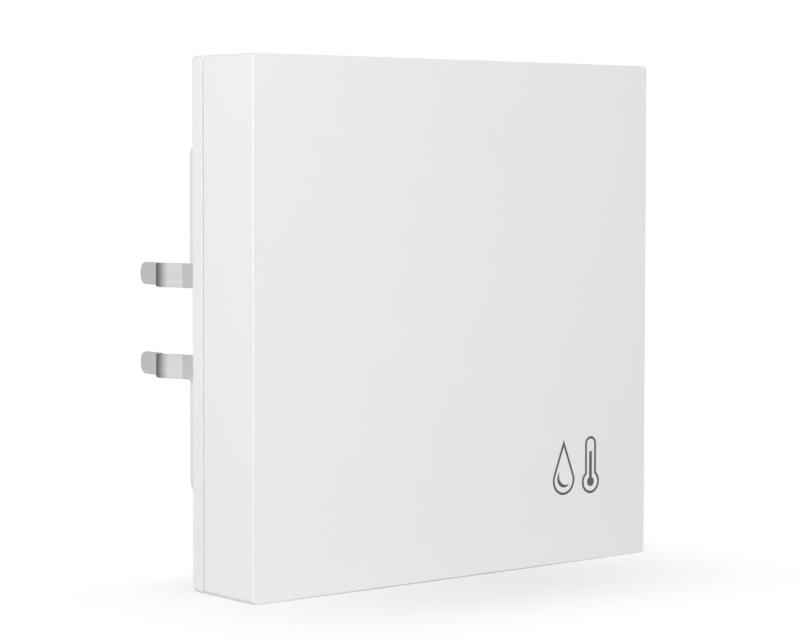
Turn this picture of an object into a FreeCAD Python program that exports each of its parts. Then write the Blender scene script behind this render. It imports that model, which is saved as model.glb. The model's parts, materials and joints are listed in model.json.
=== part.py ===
"""Wall-mounted room sensor for temperature and humidity, built as a parametric document.

Frame: +X to the viewer's right, +Y into the wall, +Z up. Y = 0 is the wall's surface, where the
base plate's back lies, and the origin is the centre of the plate there. Lengths are millimetres.
"""
import FreeCAD, Part
import math
import os
import Sketcher

Vector = FreeCAD.Vector
doc = FreeCAD.newDocument("RoomSensor")

# Driving dimensions
# Each row is an alias, its value and what it measures.
DRIVING = [
    ("face_size", 86.0, "side of the square face"),
    ("cover_depth", 13.2, "front cover, front to back"),
    ("cover_wall", 1.8, "side walls of the cover"),
    ("cover_face", 2.2, "thickness of the cover's face"),
    ("seam_gap", 0.4, "shadow gap between cover and plate"),
    ("plate_depth", 2.9, "base plate, front to back"),
    ("corner_round", 0.8, "corners of cover and plate, seen from the front"),
    ("front_round", 0.2, "front edges of the cover"),
    ("inner_round", 1.2, "inside corners of the cover"),
    ("rib_wide", 1.0, "stiffening ribs inside the cover"),
    ("rib_tall", 1.0, "height of those ribs"),
    ("rib_level", 14.0, "level ribs, above and below the middle"),
    ("rib_upright", 26.0, "upright ribs, left and right of the middle"),
    ("plate_front_round", 0.12, "front edges of the plate, beside the seam"),
    ("plate_back_round", 0.4, "back edges of the plate"),
    ("rim_gap", 0.25, "play between the plate's rim and the cover"),
    ("rim_wall", 1.4, "wall of the plate's rim"),
    ("rim_height", 5.0, "rim in front of the plate"),
    ("bead_radius", 0.8, "snap beads on the rim"),
    ("bead_proud", 0.15, "how far a bead stands out of the rim"),
    ("bead_length", 12.0, "length of a snap bead"),
    ("bead_place", 24.0, "snap beads, from the middle of a side"),
    ("lever_width", 10.0, "slot for a screwdriver under the cover"),
    ("lever_depth", 1.6, "depth of that slot"),
    ("vent_width", 1.4, "air slot in the cover"),
    ("vent_length", 4.6, "air slot, front to back"),
    ("vent_back", 8.4, "back end of the air slots, in front of the wall"),
    ("vent_pitch", 2.8, "from one air slot to the next"),
    ("symbol_depth", 0.3, "depth of the inlaid symbols"),
    ("symbol_stroke", 0.44, "line width of the symbols"),
    ("drop_mid", 23.37, "middle of the drop, right of the face's middle"),
    ("drop_low", 28.65, "centre of the drop's round end, below the face's middle"),
    ("drop_radius", 2.56, "round end of the drop"),
    ("drop_tip", 21.64, "tip of the drop, below the face's middle"),
    ("glint_mid", 23.47, "centre of the glint's outer edge"),
    ("glint_low", 28.3, "the same, below the middle"),
    ("glint_radius", 1.61, "outer edge of the glint"),
    ("glint_cut_mid", 23.98, "centre of the glint's inner edge"),
    ("glint_cut_low", 27.78, "the same, below the middle"),
    ("glint_cut_radius", 1.7, "inner edge of the glint"),
    ("stem_mid", 29.77, "middle of the thermometer"),
    ("stem_half", 1.31, "half the stem's width"),
    ("stem_top", 21.42, "top of the stem, below the face's middle"),
    ("bulb_low", 29.36, "centre of the bulb, below the face's middle"),
    ("bulb_radius", 2.05, "bulb of the thermometer"),
    ("column_half", 0.32, "half the width of the liquid column"),
    ("column_top", 24.06, "top of the column, below the face's middle"),
    ("column_bulb", 0.81, "filled bulb of the column"),
    ("housing_side", 4.8, "rear housing, in from the face's side"),
    ("housing_height", 58.0, "rear housing, bottom to top"),
    ("housing_rise", 0.4, "middle of the housing above the face's middle"),
    ("housing_depth", 7.7, "rear housing behind the wall's surface"),
    ("housing_wall", 1.5, "side walls of the housing"),
    ("housing_floor", 1.5, "back wall of the housing"),
    ("housing_corner", 2.4, "upright corners of the housing"),
    ("housing_back_round", 0.5, "back edges of the housing"),
    ("notch_half", 5.8, "half the height of the notch between two clips"),
    ("notch_depth", 3.0, "depth of that notch"),
    ("notch_wall", 1.3, "walls above and below the notch"),
    ("plaque_width", 34.0, "blank plaque on the housing's back"),
    ("plaque_height", 15.0, "the same, bottom to top"),
    ("plaque_mid", 12.0, "middle of the plaque above the face's middle"),
    ("plaque_depth", 0.3, "how deep the plaque is sunk"),
    ("screw_mid", 33.2, "housing screws, from the middle to the side"),
    ("screw_rise", 24.0, "housing screws, above and below the housing's middle"),
    ("boss_radius", 2.6, "screw bosses"),
    ("board_pad", 0.6, "pads that hold the board off the plate"),
    ("board_pad_radius", 2.8, "radius of those pads"),
    ("screw_radius", 1.1, "shank of a housing screw"),
    ("screw_hole", 1.15, "hole that the screw's thread bites in"),
    ("screw_pass", 1.35, "clear hole for the screw"),
    ("screw_head", 2.2, "head of a housing screw"),
    ("screw_head_depth", 1.5, "height of the head"),
    ("screw_shank", 7.4, "length of the shank"),
    ("drive_width", 0.7, "cross slot in a screw head"),
    ("drive_depth", 0.8, "depth of the cross slot"),
    ("drive_length", 2.9, "length of the cross slot"),
    ("window_half", 30.0, "half the width of the plate's window"),
    ("window_height", 46.0, "height of the plate's window"),
    ("window_corner", 3.0, "corners of the window"),
    ("clip_side", 4.3, "outer face of the clip plates, in from the face's side"),
    ("clip_thick", 0.5, "sheet steel of the clips"),
    ("clip_mid", 7.5, "clips above and below the face's middle"),
    ("clip_half", 2.0, "half the width of a clip"),
    ("clip_plate_half", 10.8, "half the height of a clip plate"),
    ("clip_plate_front", 0.4, "front edge of a clip plate"),
    ("clip_plate_back", 5.8, "back edge of a clip plate"),
    ("clip_root", 8.5, "where a clip starts to spring, behind the wall's surface"),
    ("clip_lead", 0.15, "straight start of a clip"),
    ("clip_bend", 1.0, "first bend of a clip"),
    ("clip_out", 1.45, "sloping run of a clip, outwards"),
    ("clip_back", 3.15, "sloping run of a clip, backwards"),
    ("crest_bend", 2.3, "crest of a clip"),
    ("return_in", 0.26, "return of a clip, inwards"),
    ("return_back", 0.1, "return of a clip, backwards"),
    ("tongue_bend", 0.5, "bend between return and tongue"),
    ("tongue_length", 5.6, "tongue at the end of a clip"),
    ("tongue_half", 1.85, "half the width of the tongue"),
    ("tongue_round", 1.5, "corners of the tongue"),
    ("shoulder_back", 13.5, "where a clip starts to narrow, behind the wall's surface"),
    ("shoulder_run", 0.8, "length of that shoulder"),
    ("rivet_rise", 9.2, "rivets above and below the face's middle"),
    ("rivet_back", 3.1, "rivets behind the wall's surface"),
    ("rivet_radius", 0.8, "shank of a rivet"),
    ("rivet_head", 1.5, "head of a rivet"),
    ("rivet_head_depth", 0.5, "height of the head"),
    ("rivet_foot", 1.2, "closed end of a rivet"),
    ("rivet_foot_depth", 0.4, "height of the closed end"),
    ("board_side", 35.4, "half the width of the main board"),
    ("board_half", 26.2, "half the height of the main board"),
    ("board_thick", 1.6, "main board"),
    ("board_notch", 32.6, "board beside the clip notches, from the middle"),
    ("board_notch_half", 8.3, "half the height of the board's side cuts"),
    ("board_corner", 1.5, "corners of the main board"),
    ("inlet_low", 13.0, "middle of the bus inlet, below the face's middle"),
    ("inlet_width", 14.4, "bus inlet in the housing"),
    ("inlet_height", 12.4, "the same, bottom to top"),
    ("header_play", 0.2, "play between header and housing"),
    ("header_wall", 1.0, "walls of the bus header"),
    ("header_floor", 1.0, "floor of the bus header"),
    ("pin_radius", 0.5, "bus pins, in the inlet"),
    ("pin_root_radius", 0.8, "bus pins, where the header and the board hold them"),
    ("pin_point", 0.25, "flat end of a bus pin"),
    ("pin_taper", 0.4, "tapered end of a bus pin"),
    ("pin_pitch", 5.75, "from one bus pin to the other"),
    ("pin_drop", 2.2, "bus pins below the inlet's middle"),
    ("pin_recess", 0.5, "bus pins end this far inside the inlet"),
    ("pin_tail", 0.7, "bus pins stand this far in front of the board"),
    ("lead_wide", 0.35, "width of a chip's lead"),
    ("lead_thick", 0.2, "thickness of a chip's lead"),
    ("lead_reach", 1.0, "how far a lead reaches out"),
    ("chip_gap", 0.15, "gap under a chip's body"),
    ("controller_size", 7.0, "side of the microcontroller"),
    ("controller_tall", 1.4, "microcontroller"),
    ("controller_x", -7.0, "middle of the microcontroller"),
    ("controller_z", 8.0, "the same, above the face's middle"),
    ("controller_pitch", 0.8, "leads of the microcontroller"),
    ("driver_width", 4.0, "bus transceiver, across"),
    ("driver_length", 10.0, "bus transceiver, along"),
    ("driver_tall", 1.6, "bus transceiver"),
    ("driver_x", 7.0, "middle of the bus transceiver"),
    ("driver_z", -8.0, "the same, above the face's middle"),
    ("driver_pitch", 1.27, "leads of the bus transceiver"),
    ("crystal_width", 5.0, "quartz crystal"),
    ("crystal_height", 3.2, "the same, bottom to top"),
    ("crystal_tall", 1.1, "the same, off the board"),
    ("crystal_x", 4.5, "middle of the crystal"),
    ("crystal_z", 11.0, "the same, above the face's middle"),
    ("storage_radius", 4.0, "storage capacitor"),
    ("storage_tall", 7.0, "storage capacitor, off its base"),
    ("storage_base", 8.3, "side of the capacitor's base"),
    ("storage_base_tall", 0.9, "the capacitor's base"),
    ("storage_x", -20.0, "middle of the storage capacitor"),
    ("storage_z", -8.0, "the same, above the face's middle"),
    ("inductor_size", 6.0, "side of the inductor"),
    ("inductor_tall", 2.8, "inductor"),
    ("inductor_chamfer", 1.3, "corners of the inductor"),
    ("inductor_x", -8.0, "middle of the inductor"),
    ("inductor_z", -8.0, "the same, above the face's middle"),
    ("small_length", 1.6, "small chip part, along"),
    ("small_width", 0.8, "small chip part, across"),
    ("small_cap_tall", 0.8, "ceramic capacitor"),
    ("small_res_tall", 0.45, "chip resistor"),
    ("small_pitch", 2.4, "from one small part to the next in a row"),
    ("small_pitch_tight", 1.6, "the same, beside the switch"),
    ("cap_row_left", -14.0, "ceramic capacitors left of the microcontroller"),
    ("cap_row_right", 13.0, "ceramic capacitors right of the transceiver"),
    ("resistor_row_up", 15.0, "resistors above the microcontroller"),
    ("resistor_row_side", 15.0, "resistors left of the switch"),
    ("surge_length", 4.3, "surge diode, along"),
    ("surge_width", 2.6, "surge diode, across"),
    ("surge_tall", 2.1, "surge diode"),
    ("surge_tab", 1.5, "width of the diode's tabs"),
    ("surge_x", -20.0, "middle of the surge diode"),
    ("surge_z", 2.0, "the same, above the face's middle"),
    ("regulator_length", 6.5, "voltage regulator, along"),
    ("regulator_width", 3.5, "voltage regulator, across"),
    ("regulator_tall", 1.6, "voltage regulator"),
    ("regulator_tab", 3.0, "the regulator's heat tab"),
    ("regulator_leg", 0.7, "width of a leg of the regulator"),
    ("regulator_pitch", 2.3, "from one of those legs to the next"),
    ("regulator_x", -20.0, "middle of the regulator"),
    ("regulator_z", 12.0, "the same, above the face's middle"),
    ("switch_size", 6.0, "side of the programming switch"),
    ("switch_tall", 3.6, "programming switch, off the board"),
    ("switch_x", 21.0, "middle of the programming switch"),
    ("switch_z", 8.0, "the same, above the face's middle"),
    ("switch_well", 1.9, "depth of the well for the button"),
    ("switch_leg", 0.9, "width of the switch's legs"),
    ("switch_leg_place", 2.0, "those legs, above and below the switch's middle"),
    ("button_radius", 1.7, "programming button"),
    ("button_play", 0.08, "play between button and well"),
    ("button_lift", 0.5, "button above the dome"),
    ("button_tall", 3.6, "length of the button"),
    ("button_round", 0.3, "front edge of the button"),
    ("dome_radius", 1.6, "snap dome in the switch"),
    ("dome_thick", 0.12, "snap dome"),
    ("lamp_length", 2.0, "programming lamp, along"),
    ("lamp_width", 1.25, "programming lamp, across"),
    ("lamp_tall", 0.5, "base of the lamp"),
    ("lamp_lens", 0.5, "lens of the lamp"),
    ("lamp_x", 21.0, "middle of the lamp"),
    ("lamp_z", 14.0, "the same, above the face's middle"),
    ("sensor_half", 10.0, "half the width of the sensor board"),
    ("sensor_low", 40.2, "lower edge of the sensor board, below the face's middle"),
    ("sensor_high", 18.6, "upper edge of the sensor board, below the face's middle"),
    ("sensor_thick", 1.0, "sensor board"),
    ("sensor_front", 6.0, "back of the sensor board, in front of the plate"),
    ("post_radius", 1.9, "posts under the sensor board"),
    ("post_mid", 7.6, "posts, from the middle to the side"),
    ("post_low", 28.6, "posts, below the face's middle"),
    ("slot_half", 5.0, "half the span of the heat slots"),
    ("slot_width", 1.0, "width of a heat slot"),
    ("slot_low", 32.6, "upper heat slot, below the face's middle"),
    ("element_size", 3.0, "side of the sensing element"),
    ("element_tall", 1.1, "sensing element"),
    ("element_low", 36.6, "middle of the sensing element, below the face's middle"),
    ("element_port", 0.75, "port of the sensing element"),
    ("element_port_depth", 0.4, "depth of the port"),
    ("link_low", 20.6, "link pins, below the face's middle"),
    ("link_pitch", 2.54, "from one link pin to the next"),
    ("link_pin", 0.64, "side of a link pin"),
    ("link_hole", 0.5, "holes for the link pins"),
    ("link_tail", 0.8, "link pins stand out of the boards"),
    ("link_width", 2.5, "link header, bottom to top"),
    ("link_base", 2.5, "link header, front to back"),
    ("link_socket_deep", 3.8, "link socket, front to back"),
    ("foam_thick", 2.0, "foam wall round the sensing element"),
    ("foam_half", 9.6, "half the width of the foam wall"),
    ("foam_top", 31.6, "top of the foam wall, below the face's middle"),
    ("foam_gap", 0.5, "gap between the foam and the cover"),
    ("small_screw", 0.9, "shank of a sensor board screw"),
    ("small_screw_pass", 1.05, "clear hole for it"),
    ("small_screw_hole", 0.95, "hole in its post"),
    ("small_screw_head", 1.8, "head of it"),
    ("small_screw_head_depth", 1.1, "height of that head"),
    ("small_screw_shank", 5.0, "length of its shank"),
    ("small_drive_length", 2.3, "length of its cross slot"),
]

# Counts that belong to the design
VENT_COUNT = 15
LINK_PINS = 4
CONTROLLER_LEADS = 8
DRIVER_LEADS = 8
CAPACITORS_IN_ROW = 4
RESISTORS_IN_ROW = 5
RIGHT = 1
LEFT = -1
UP = 1
DOWN = -1

sheet = doc.addObject("Spreadsheet::Sheet", "Sizes")
for row, (alias, value, words) in enumerate(DRIVING, start=1):
    sheet.set("A%d" % row, words)
    sheet.set("B%d" % row, str(value))
    sheet.setAlias("B%d" % row, alias)
doc.recompute()


class Size:
    """A length that carries both its value and the expression that gives it from the sheet."""

    def __init__(self, value, text):
        self.value = value
        self.text = text

    def __add__(self, other):
        other = as_size(other)
        return Size(self.value + other.value, "(%s + %s)" % (self.text, other.text))

    def __sub__(self, other):
        other = as_size(other)
        return Size(self.value - other.value, "(%s - %s)" % (self.text, other.text))

    def __mul__(self, factor):
        return Size(self.value * factor, "(%s * %r)" % (self.text, factor))

    def __truediv__(self, factor):
        return Size(self.value / factor, "(%s / %r)" % (self.text, factor))

    def __neg__(self):
        return Size(-self.value, "(0 - %s)" % self.text)

    def __radd__(self, other):
        return as_size(other) + self

    def __rsub__(self, other):
        return as_size(other) - self


def as_size(number):
    """Return number as a Size, so that plain counts and zero mix with the sheet's lengths."""
    if isinstance(number, Size):
        return number
    return Size(float(number), repr(float(number)))


class Dimensions:
    """Gives every alias of the sheet as a Size, by attribute."""

    def __init__(self, rows):
        for alias, value, words in rows:
            setattr(self, alias, Size(value, "Sizes." + alias))


dim = Dimensions(DRIVING)
ZERO = as_size(0.0)
half_face = dim.face_size / 2
plate_front = dim.plate_depth
cover_back = dim.plate_depth + dim.seam_gap
cover_front = cover_back + dim.cover_depth
cover_inside = cover_front - dim.cover_face
housing_half = half_face - dim.housing_side
housing_top = dim.housing_rise + dim.housing_height / 2
housing_bottom = dim.housing_rise - dim.housing_height / 2
board_front = dim.board_pad
board_back = dim.board_pad + dim.board_thick
sensor_back = plate_front + dim.sensor_front
sensor_face = sensor_back + dim.sensor_thick
clip_face = half_face - dim.clip_side


# Helpers for sketches and features

def bind(item, path, size):
    """Tie a property of a document object to the sheet."""
    item.setExpression(path, size.text)


def new_body(name):
    return doc.addObject("PartDesign::Body", name)


def sketch_on(body, role, offset):
    """A sketch on one of the body's own planes, moved along that plane's normal.

    The normals are -Y for XZ_Plane, +Z for XY_Plane and +X for YZ_Plane.
    """
    offset = as_size(offset)
    plane = [item for item in body.Origin.OriginFeatures if item.Role == role][0]
    sketch = body.newObject("Sketcher::SketchObject", body.Name + "_sketch")
    sketch.AttachmentSupport = [(plane, "")]
    sketch.MapMode = "FlatFace"
    sketch.AttachmentOffset = FreeCAD.Placement(Vector(0, 0, offset.value), FreeCAD.Rotation())
    bind(sketch, "AttachmentOffset.Base.z", offset)
    return sketch


def hold_length(sketch, kind, items, size):
    """Add one driving constraint and tie it to the sheet."""
    index = sketch.addConstraint(Sketcher.Constraint(kind, *items, size.value))
    bind(sketch, "Constraints[%d]" % index, size)


def hold_point(sketch, geometry, position, across, along):
    """Fix a point of the sketch by its two coordinates."""
    for kind, axis, size in (("DistanceX", -2, as_size(across)), ("DistanceY", -1, as_size(along))):
        if abs(size.value) < 1e-9:
            sketch.addConstraint(Sketcher.Constraint("PointOnObject", geometry, position, axis))
        else:
            hold_length(sketch, kind, (-1, 1, geometry, position), size)


def polygon(sketch, corners):
    """A closed outline through corners, each a pair of sizes."""
    corners = [(as_size(across), as_size(along)) for across, along in corners]
    points = [Vector(across.value, along.value, 0) for across, along in corners]
    lines = []
    for start, end in zip(points, points[1:] + points[:1]):
        lines.append(sketch.addGeometry(Part.LineSegment(start, end), False))
    for line, following in zip(lines, lines[1:] + lines[:1]):
        sketch.addConstraint(Sketcher.Constraint("Coincident", line, 2, following, 1))
    for line, (across, along) in zip(lines, corners):
        hold_point(sketch, line, 1, across, along)


def rectangle(sketch, left, right, low, high):
    polygon(sketch, [(left, low), (right, low), (right, high), (left, high)])


def circle(sketch, across, along, radius):
    across = as_size(across)
    along = as_size(along)
    centre = Vector(across.value, along.value, 0)
    ring = sketch.addGeometry(Part.Circle(centre, Vector(0, 0, 1), radius.value), False)
    hold_point(sketch, ring, 3, across, along)
    hold_length(sketch, "Radius", (ring,), radius)


def pad(body, sketch, length, backwards=False, symmetric=False):
    """Extrude a sketch along its plane's normal, or the other way."""
    feature = body.newObject("PartDesign::Pad", body.Name + "_pad")
    feature.Profile = sketch
    feature.Reversed = backwards
    if symmetric:
        feature.SideType = "Symmetric"
    bind(feature, "Length", as_size(length))
    doc.recompute()
    return feature


def pocket(body, sketch, length=None, backwards=False, through=False):
    """Cut a sketch against its plane's normal, or along it; the volume must shrink."""
    before = body.Shape.Volume
    feature = body.newObject("PartDesign::Pocket", body.Name + "_pocket")
    feature.Profile = sketch
    feature.Reversed = backwards
    if through:
        feature.SideType = "Symmetric"
        feature.Type = "ThroughAll"
    else:
        bind(feature, "Length", as_size(length))
    doc.recompute()
    if body.Shape.Volume > before - 1e-6:
        raise RuntimeError("a pocket of %s cuts nothing" % body.Name)
    return feature


def edge_names(shape, test):
    return ["Edge%d" % number for number, edge in enumerate(shape.Edges, start=1) if test(edge)]


def runs_along(edge, direction):
    """True for a straight edge that is parallel to direction, a unit vector."""
    if len(edge.Vertexes) != 2:
        return False
    run = edge.Vertexes[1].Point - edge.Vertexes[0].Point
    return abs(abs(run.dot(direction)) - edge.Length) < 1e-6


def lies_at(edge, axis, size):
    """True if every end of the edge has this coordinate on the axis 0, 1 or 2."""
    return all(abs(vertex.Point[axis] - as_size(size).value) < 1e-4 for vertex in edge.Vertexes)


def round_edges(body, radius, test):
    """Fillet the edges of the body's last feature that pass the test."""
    base = body.Tip
    names = edge_names(base.Shape, test)
    if not names:
        raise RuntimeError("no edge of %s to round" % body.Name)
    feature = body.newObject("PartDesign::Fillet", body.Name + "_round")
    feature.Base = (base, names)
    bind(feature, "Radius", radius)
    doc.recompute()
    return feature


def upright_edges(half_width):
    """Edges that run front to back on the two sides at this distance from the middle."""
    def test(edge):
        return runs_along(edge, Vector(0, 1, 0)) and abs(abs(edge.CenterOfMass.x) - half_width.value) < 1e-4
    return test


def block(name, across, front, up, width, depth, height):
    """A box centred on across and up, whose front face is front of the wall by that much."""
    box = doc.addObject("Part::Box", name)
    bind(box, "Length", as_size(width))
    bind(box, "Width", as_size(depth))
    bind(box, "Height", as_size(height))
    bind(box, "Placement.Base.x", as_size(across) - as_size(width) / 2)
    bind(box, "Placement.Base.y", -as_size(front))
    bind(box, "Placement.Base.z", as_size(up) - as_size(height) / 2)
    return box


def rod(name, start, direction, radius, length):
    """A cylinder from start, a triple of sizes in the row frame, along a row axis."""
    cylinder = doc.addObject("Part::Cylinder", name)
    cylinder.Placement = FreeCAD.Placement(Vector(), FreeCAD.Rotation(Vector(0, 0, 1), direction))
    bind(cylinder, "Radius", as_size(radius))
    bind(cylinder, "Height", as_size(length))
    for axis, size in zip("xyz", start):
        bind(cylinder, "Placement.Base." + axis, as_size(size))
    return cylinder


def joined(name, pieces):
    """One solid out of several that touch."""
    fuse = doc.addObject("Part::MultiFuse", name)
    fuse.Shapes = pieces
    return fuse


def grouped(name, pieces):
    """Several separate solids in one sub-part."""
    group = doc.addObject("Part::Compound", name)
    group.Links = pieces
    return group


def without(name, base, tool):
    cut = doc.addObject("Part::Cut", name)
    cut.Base = base
    cut.Tool = tool
    return cut


nodes = {}


def keep(name, item):
    """Name a finished sub-part, which is also the name of its file."""
    item.Label = name
    nodes[name] = item


# Symbols

def drop_outline(sketch, inset):
    """The outline of the drop: a round end and two straight sides that meet in the tip."""
    radius = dim.drop_radius - inset
    reach = dim.drop_low.value - dim.drop_tip.value
    lean = math.asin(dim.drop_radius.value / reach)
    tip_drop = inset.value / math.sin(lean)
    centre = Vector(dim.drop_mid.value, -dim.drop_low.value, 0)
    tip = Vector(dim.drop_mid.value, -dim.drop_tip.value - tip_drop, 0)
    right_touch = centre + Vector(math.cos(lean), math.sin(lean), 0) * radius.value
    left_touch = centre + Vector(-math.cos(lean), math.sin(lean), 0) * radius.value
    round_end = Part.ArcOfCircle(Part.Circle(centre, Vector(0, 0, 1), radius.value),
                                 math.pi - lean, 2 * math.pi + lean)
    arc = sketch.addGeometry(round_end, False)
    right = sketch.addGeometry(Part.LineSegment(right_touch, tip), False)
    left = sketch.addGeometry(Part.LineSegment(tip, left_touch), False)
    sketch.addConstraint(Sketcher.Constraint("Tangent", arc, 2, right, 1))
    sketch.addConstraint(Sketcher.Constraint("Coincident", right, 2, left, 1))
    sketch.addConstraint(Sketcher.Constraint("Tangent", left, 2, arc, 1))
    hold_point(sketch, arc, 3, dim.drop_mid, -dim.drop_low)
    hold_length(sketch, "Radius", (arc,), radius)
    return right


def make_drop_symbol():
    """The water drop: a line drawing and a glint inside it, both inlaid."""
    line = new_body("drop_line")
    sketch = sketch_on(line, "XZ_Plane", cover_front - dim.symbol_depth)
    outer = drop_outline(sketch, ZERO)
    inner = drop_outline(sketch, dim.symbol_stroke)
    hold_point(sketch, outer, 2, dim.drop_mid, -dim.drop_tip)
    sketch.addConstraint(Sketcher.Constraint("Parallel", outer, inner))
    sketch.addConstraint(Sketcher.Constraint("Vertical", outer, 2, inner, 2))
    pad(line, sketch, dim.symbol_depth)
    glint_front = -cover_front
    disc = rod("glint_disc", (dim.glint_mid, glint_front, -dim.glint_low),
               Vector(0, 1, 0), dim.glint_radius, dim.symbol_depth)
    bite = rod("glint_bite", (dim.glint_cut_mid, glint_front, -dim.glint_cut_low),
               Vector(0, 1, 0), dim.glint_cut_radius, dim.symbol_depth)
    glint = without("glint", disc, bite)
    symbol = grouped("drop_symbol", [line, glint])
    keep("drop_symbol", symbol)
    return symbol


def capsule_parts(name, inset, top_inset):
    """Stem, rounded top and bulb of the thermometer's outline, drawn in by inset."""
    front = -cover_front
    half = dim.stem_half - inset
    top_centre = -(dim.stem_top + dim.stem_half)
    stem_height = dim.bulb_low + top_centre
    along = Vector(0, 1, 0)
    stem = block(name + "_stem", dim.stem_mid, cover_front, top_centre - stem_height / 2,
                 half * 2, dim.symbol_depth, stem_height)
    top = rod(name + "_top", (dim.stem_mid, front, top_centre), along, half, dim.symbol_depth)
    bulb = rod(name + "_bulb", (dim.stem_mid, front, -dim.bulb_low), along,
               dim.bulb_radius - top_inset, dim.symbol_depth)
    return joined(name, [stem, top, bulb])


def make_thermometer_symbol():
    """The thermometer: a line drawing with a filled column and bulb inside it."""
    outside = capsule_parts("thermometer_outside", ZERO, ZERO)
    inside = capsule_parts("thermometer_inside", dim.symbol_stroke, dim.symbol_stroke)
    line = without("thermometer_line", outside, inside)
    height = dim.bulb_low - dim.column_top
    stem = block("column_stem", dim.stem_mid, cover_front, -(dim.column_top + height / 2),
                 dim.column_half * 2, dim.symbol_depth, height)
    bulb = rod("column_bulb_disc", (dim.stem_mid, -cover_front, -dim.bulb_low),
               Vector(0, 1, 0), dim.column_bulb, dim.symbol_depth)
    column = joined("column", [stem, bulb])
    symbol = grouped("thermometer_symbol", [line, column])
    keep("thermometer_symbol", symbol)
    return symbol


# Front cover

def make_front_cover(symbols):
    """The square cap that is seen from the room, with air slots above and below."""
    shell = new_body("cover_shell")
    outline = sketch_on(shell, "XZ_Plane", cover_back)
    rectangle(outline, -half_face, half_face, -half_face, half_face)
    pad(shell, outline, dim.cover_depth)
    round_edges(shell, dim.corner_round, upright_edges(half_face))
    round_edges(shell, dim.front_round, lambda edge: lies_at(edge, 1, -cover_front))
    inner = half_face - dim.cover_wall
    hollow = sketch_on(shell, "XZ_Plane", cover_back)
    rectangle(hollow, -inner, inner, -inner, inner)
    pocket(shell, hollow, dim.cover_depth - dim.cover_face, backwards=True)
    round_edges(shell, dim.inner_round, upright_edges(inner))
    half_rib = dim.rib_wide / 2
    level_ribs = sketch_on(shell, "XZ_Plane", cover_inside)
    upright_ribs = sketch_on(shell, "XZ_Plane", cover_inside)
    for side in (LEFT, RIGHT):
        place = dim.rib_level * side
        rectangle(level_ribs, -inner, inner, place - half_rib, place + half_rib)
        place = dim.rib_upright * side
        rectangle(upright_ribs, place - half_rib, place + half_rib, -inner, inner)
    for ribs in (level_ribs, upright_ribs):
        pad(shell, ribs, dim.rib_tall, backwards=True)
    slot = sketch_on(shell, "XY_Plane", ZERO)
    first = -(dim.vent_pitch * (VENT_COUNT - 1)) / 2
    rectangle(slot, first - dim.vent_width / 2, first + dim.vent_width / 2,
              -(dim.vent_back + dim.vent_length), -dim.vent_back)
    vent = pocket(shell, slot, through=True)
    row = shell.newObject("PartDesign::LinearPattern", "vent_row")
    row.Originals = [vent]
    row.Direction = (slot, ["H_Axis"])
    row.Mode = "Extent"
    bind(row, "Length", dim.vent_pitch * (VENT_COUNT - 1))
    row.Occurrences = VENT_COUNT
    shell.Tip = row
    doc.recompute()
    cover = without("front_cover", shell, grouped("symbol_recesses", symbols))
    keep("front_cover", cover)


# Base plate

def screw_places():
    """The four housing screws, as pairs of sizes on the plate."""
    return [(dim.screw_mid * side, dim.housing_rise + dim.screw_rise * level)
            for side in (LEFT, RIGHT) for level in (DOWN, UP)]


def snap_beads():
    """Round beads on the rim, two on each side, that hold the cover."""
    rim = half_face - dim.cover_wall - dim.rim_gap
    centre = rim + dim.bead_proud - dim.bead_radius
    front = -(plate_front + dim.rim_height - dim.bead_radius)
    beads = []
    for side in (LEFT, RIGHT):
        for level in (DOWN, UP):
            start = dim.bead_place * level - dim.bead_length / 2
            beads.append(rod("bead_level", (start, front, centre * side), Vector(1, 0, 0),
                             dim.bead_radius, dim.bead_length))
            beads.append(rod("bead_upright", (centre * side, front, start), Vector(0, 0, 1),
                             dim.bead_radius, dim.bead_length))
    return beads


def make_base_plate():
    """The thin plate against the wall, with the rim that the cover snaps on."""
    plate = new_body("plate_body")
    outline = sketch_on(plate, "XZ_Plane", ZERO)
    rectangle(outline, -half_face, half_face, -half_face, half_face)
    pad(plate, outline, dim.plate_depth)
    round_edges(plate, dim.corner_round, upright_edges(half_face))
    round_edges(plate, dim.plate_front_round, lambda edge: lies_at(edge, 1, -plate_front))
    round_edges(plate, dim.plate_back_round, lambda edge: lies_at(edge, 1, ZERO))
    window = sketch_on(plate, "XZ_Plane", ZERO)
    rectangle(window, -dim.window_half, dim.window_half,
              dim.housing_rise - dim.window_height / 2, dim.housing_rise + dim.window_height / 2)
    pocket(plate, window, through=True)
    round_edges(plate, dim.window_corner, upright_edges(dim.window_half))
    rim_out = half_face - dim.cover_wall - dim.rim_gap
    rim_in = rim_out - dim.rim_wall
    rim = sketch_on(plate, "XZ_Plane", plate_front)
    rectangle(rim, -rim_out, rim_out, -rim_out, rim_out)
    rectangle(rim, -rim_in, rim_in, -rim_in, rim_in)
    pad(plate, rim, dim.rim_height)
    round_edges(plate, dim.inner_round, upright_edges(rim_out))
    pads = sketch_on(plate, "XZ_Plane", ZERO)
    for across, along in screw_places():
        circle(pads, across, along, dim.board_pad_radius)
    pad(plate, pads, dim.board_pad, backwards=True)
    holes = sketch_on(plate, "XZ_Plane", ZERO)
    for across, along in screw_places():
        circle(holes, across, along, dim.screw_pass)
    pocket(plate, holes, through=True)
    posts = sketch_on(plate, "XZ_Plane", plate_front)
    for side in (LEFT, RIGHT):
        circle(posts, dim.post_mid * side, -dim.post_low, dim.post_radius)
    pad(plate, posts, dim.sensor_front)
    post_holes = sketch_on(plate, "XZ_Plane", sensor_back)
    for side in (LEFT, RIGHT):
        circle(post_holes, dim.post_mid * side, -dim.post_low, dim.small_screw_hole)
    pocket(plate, post_holes, dim.small_screw_shank)
    lever = sketch_on(plate, "XZ_Plane", plate_front)
    rectangle(lever, -dim.lever_width / 2, dim.lever_width / 2,
              -half_face - dim.lever_depth, -half_face + dim.lever_depth)
    pocket(plate, lever, dim.lever_depth)
    keep("base_plate", joined("base_plate", [plate] + snap_beads()))


# Rear housing

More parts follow.
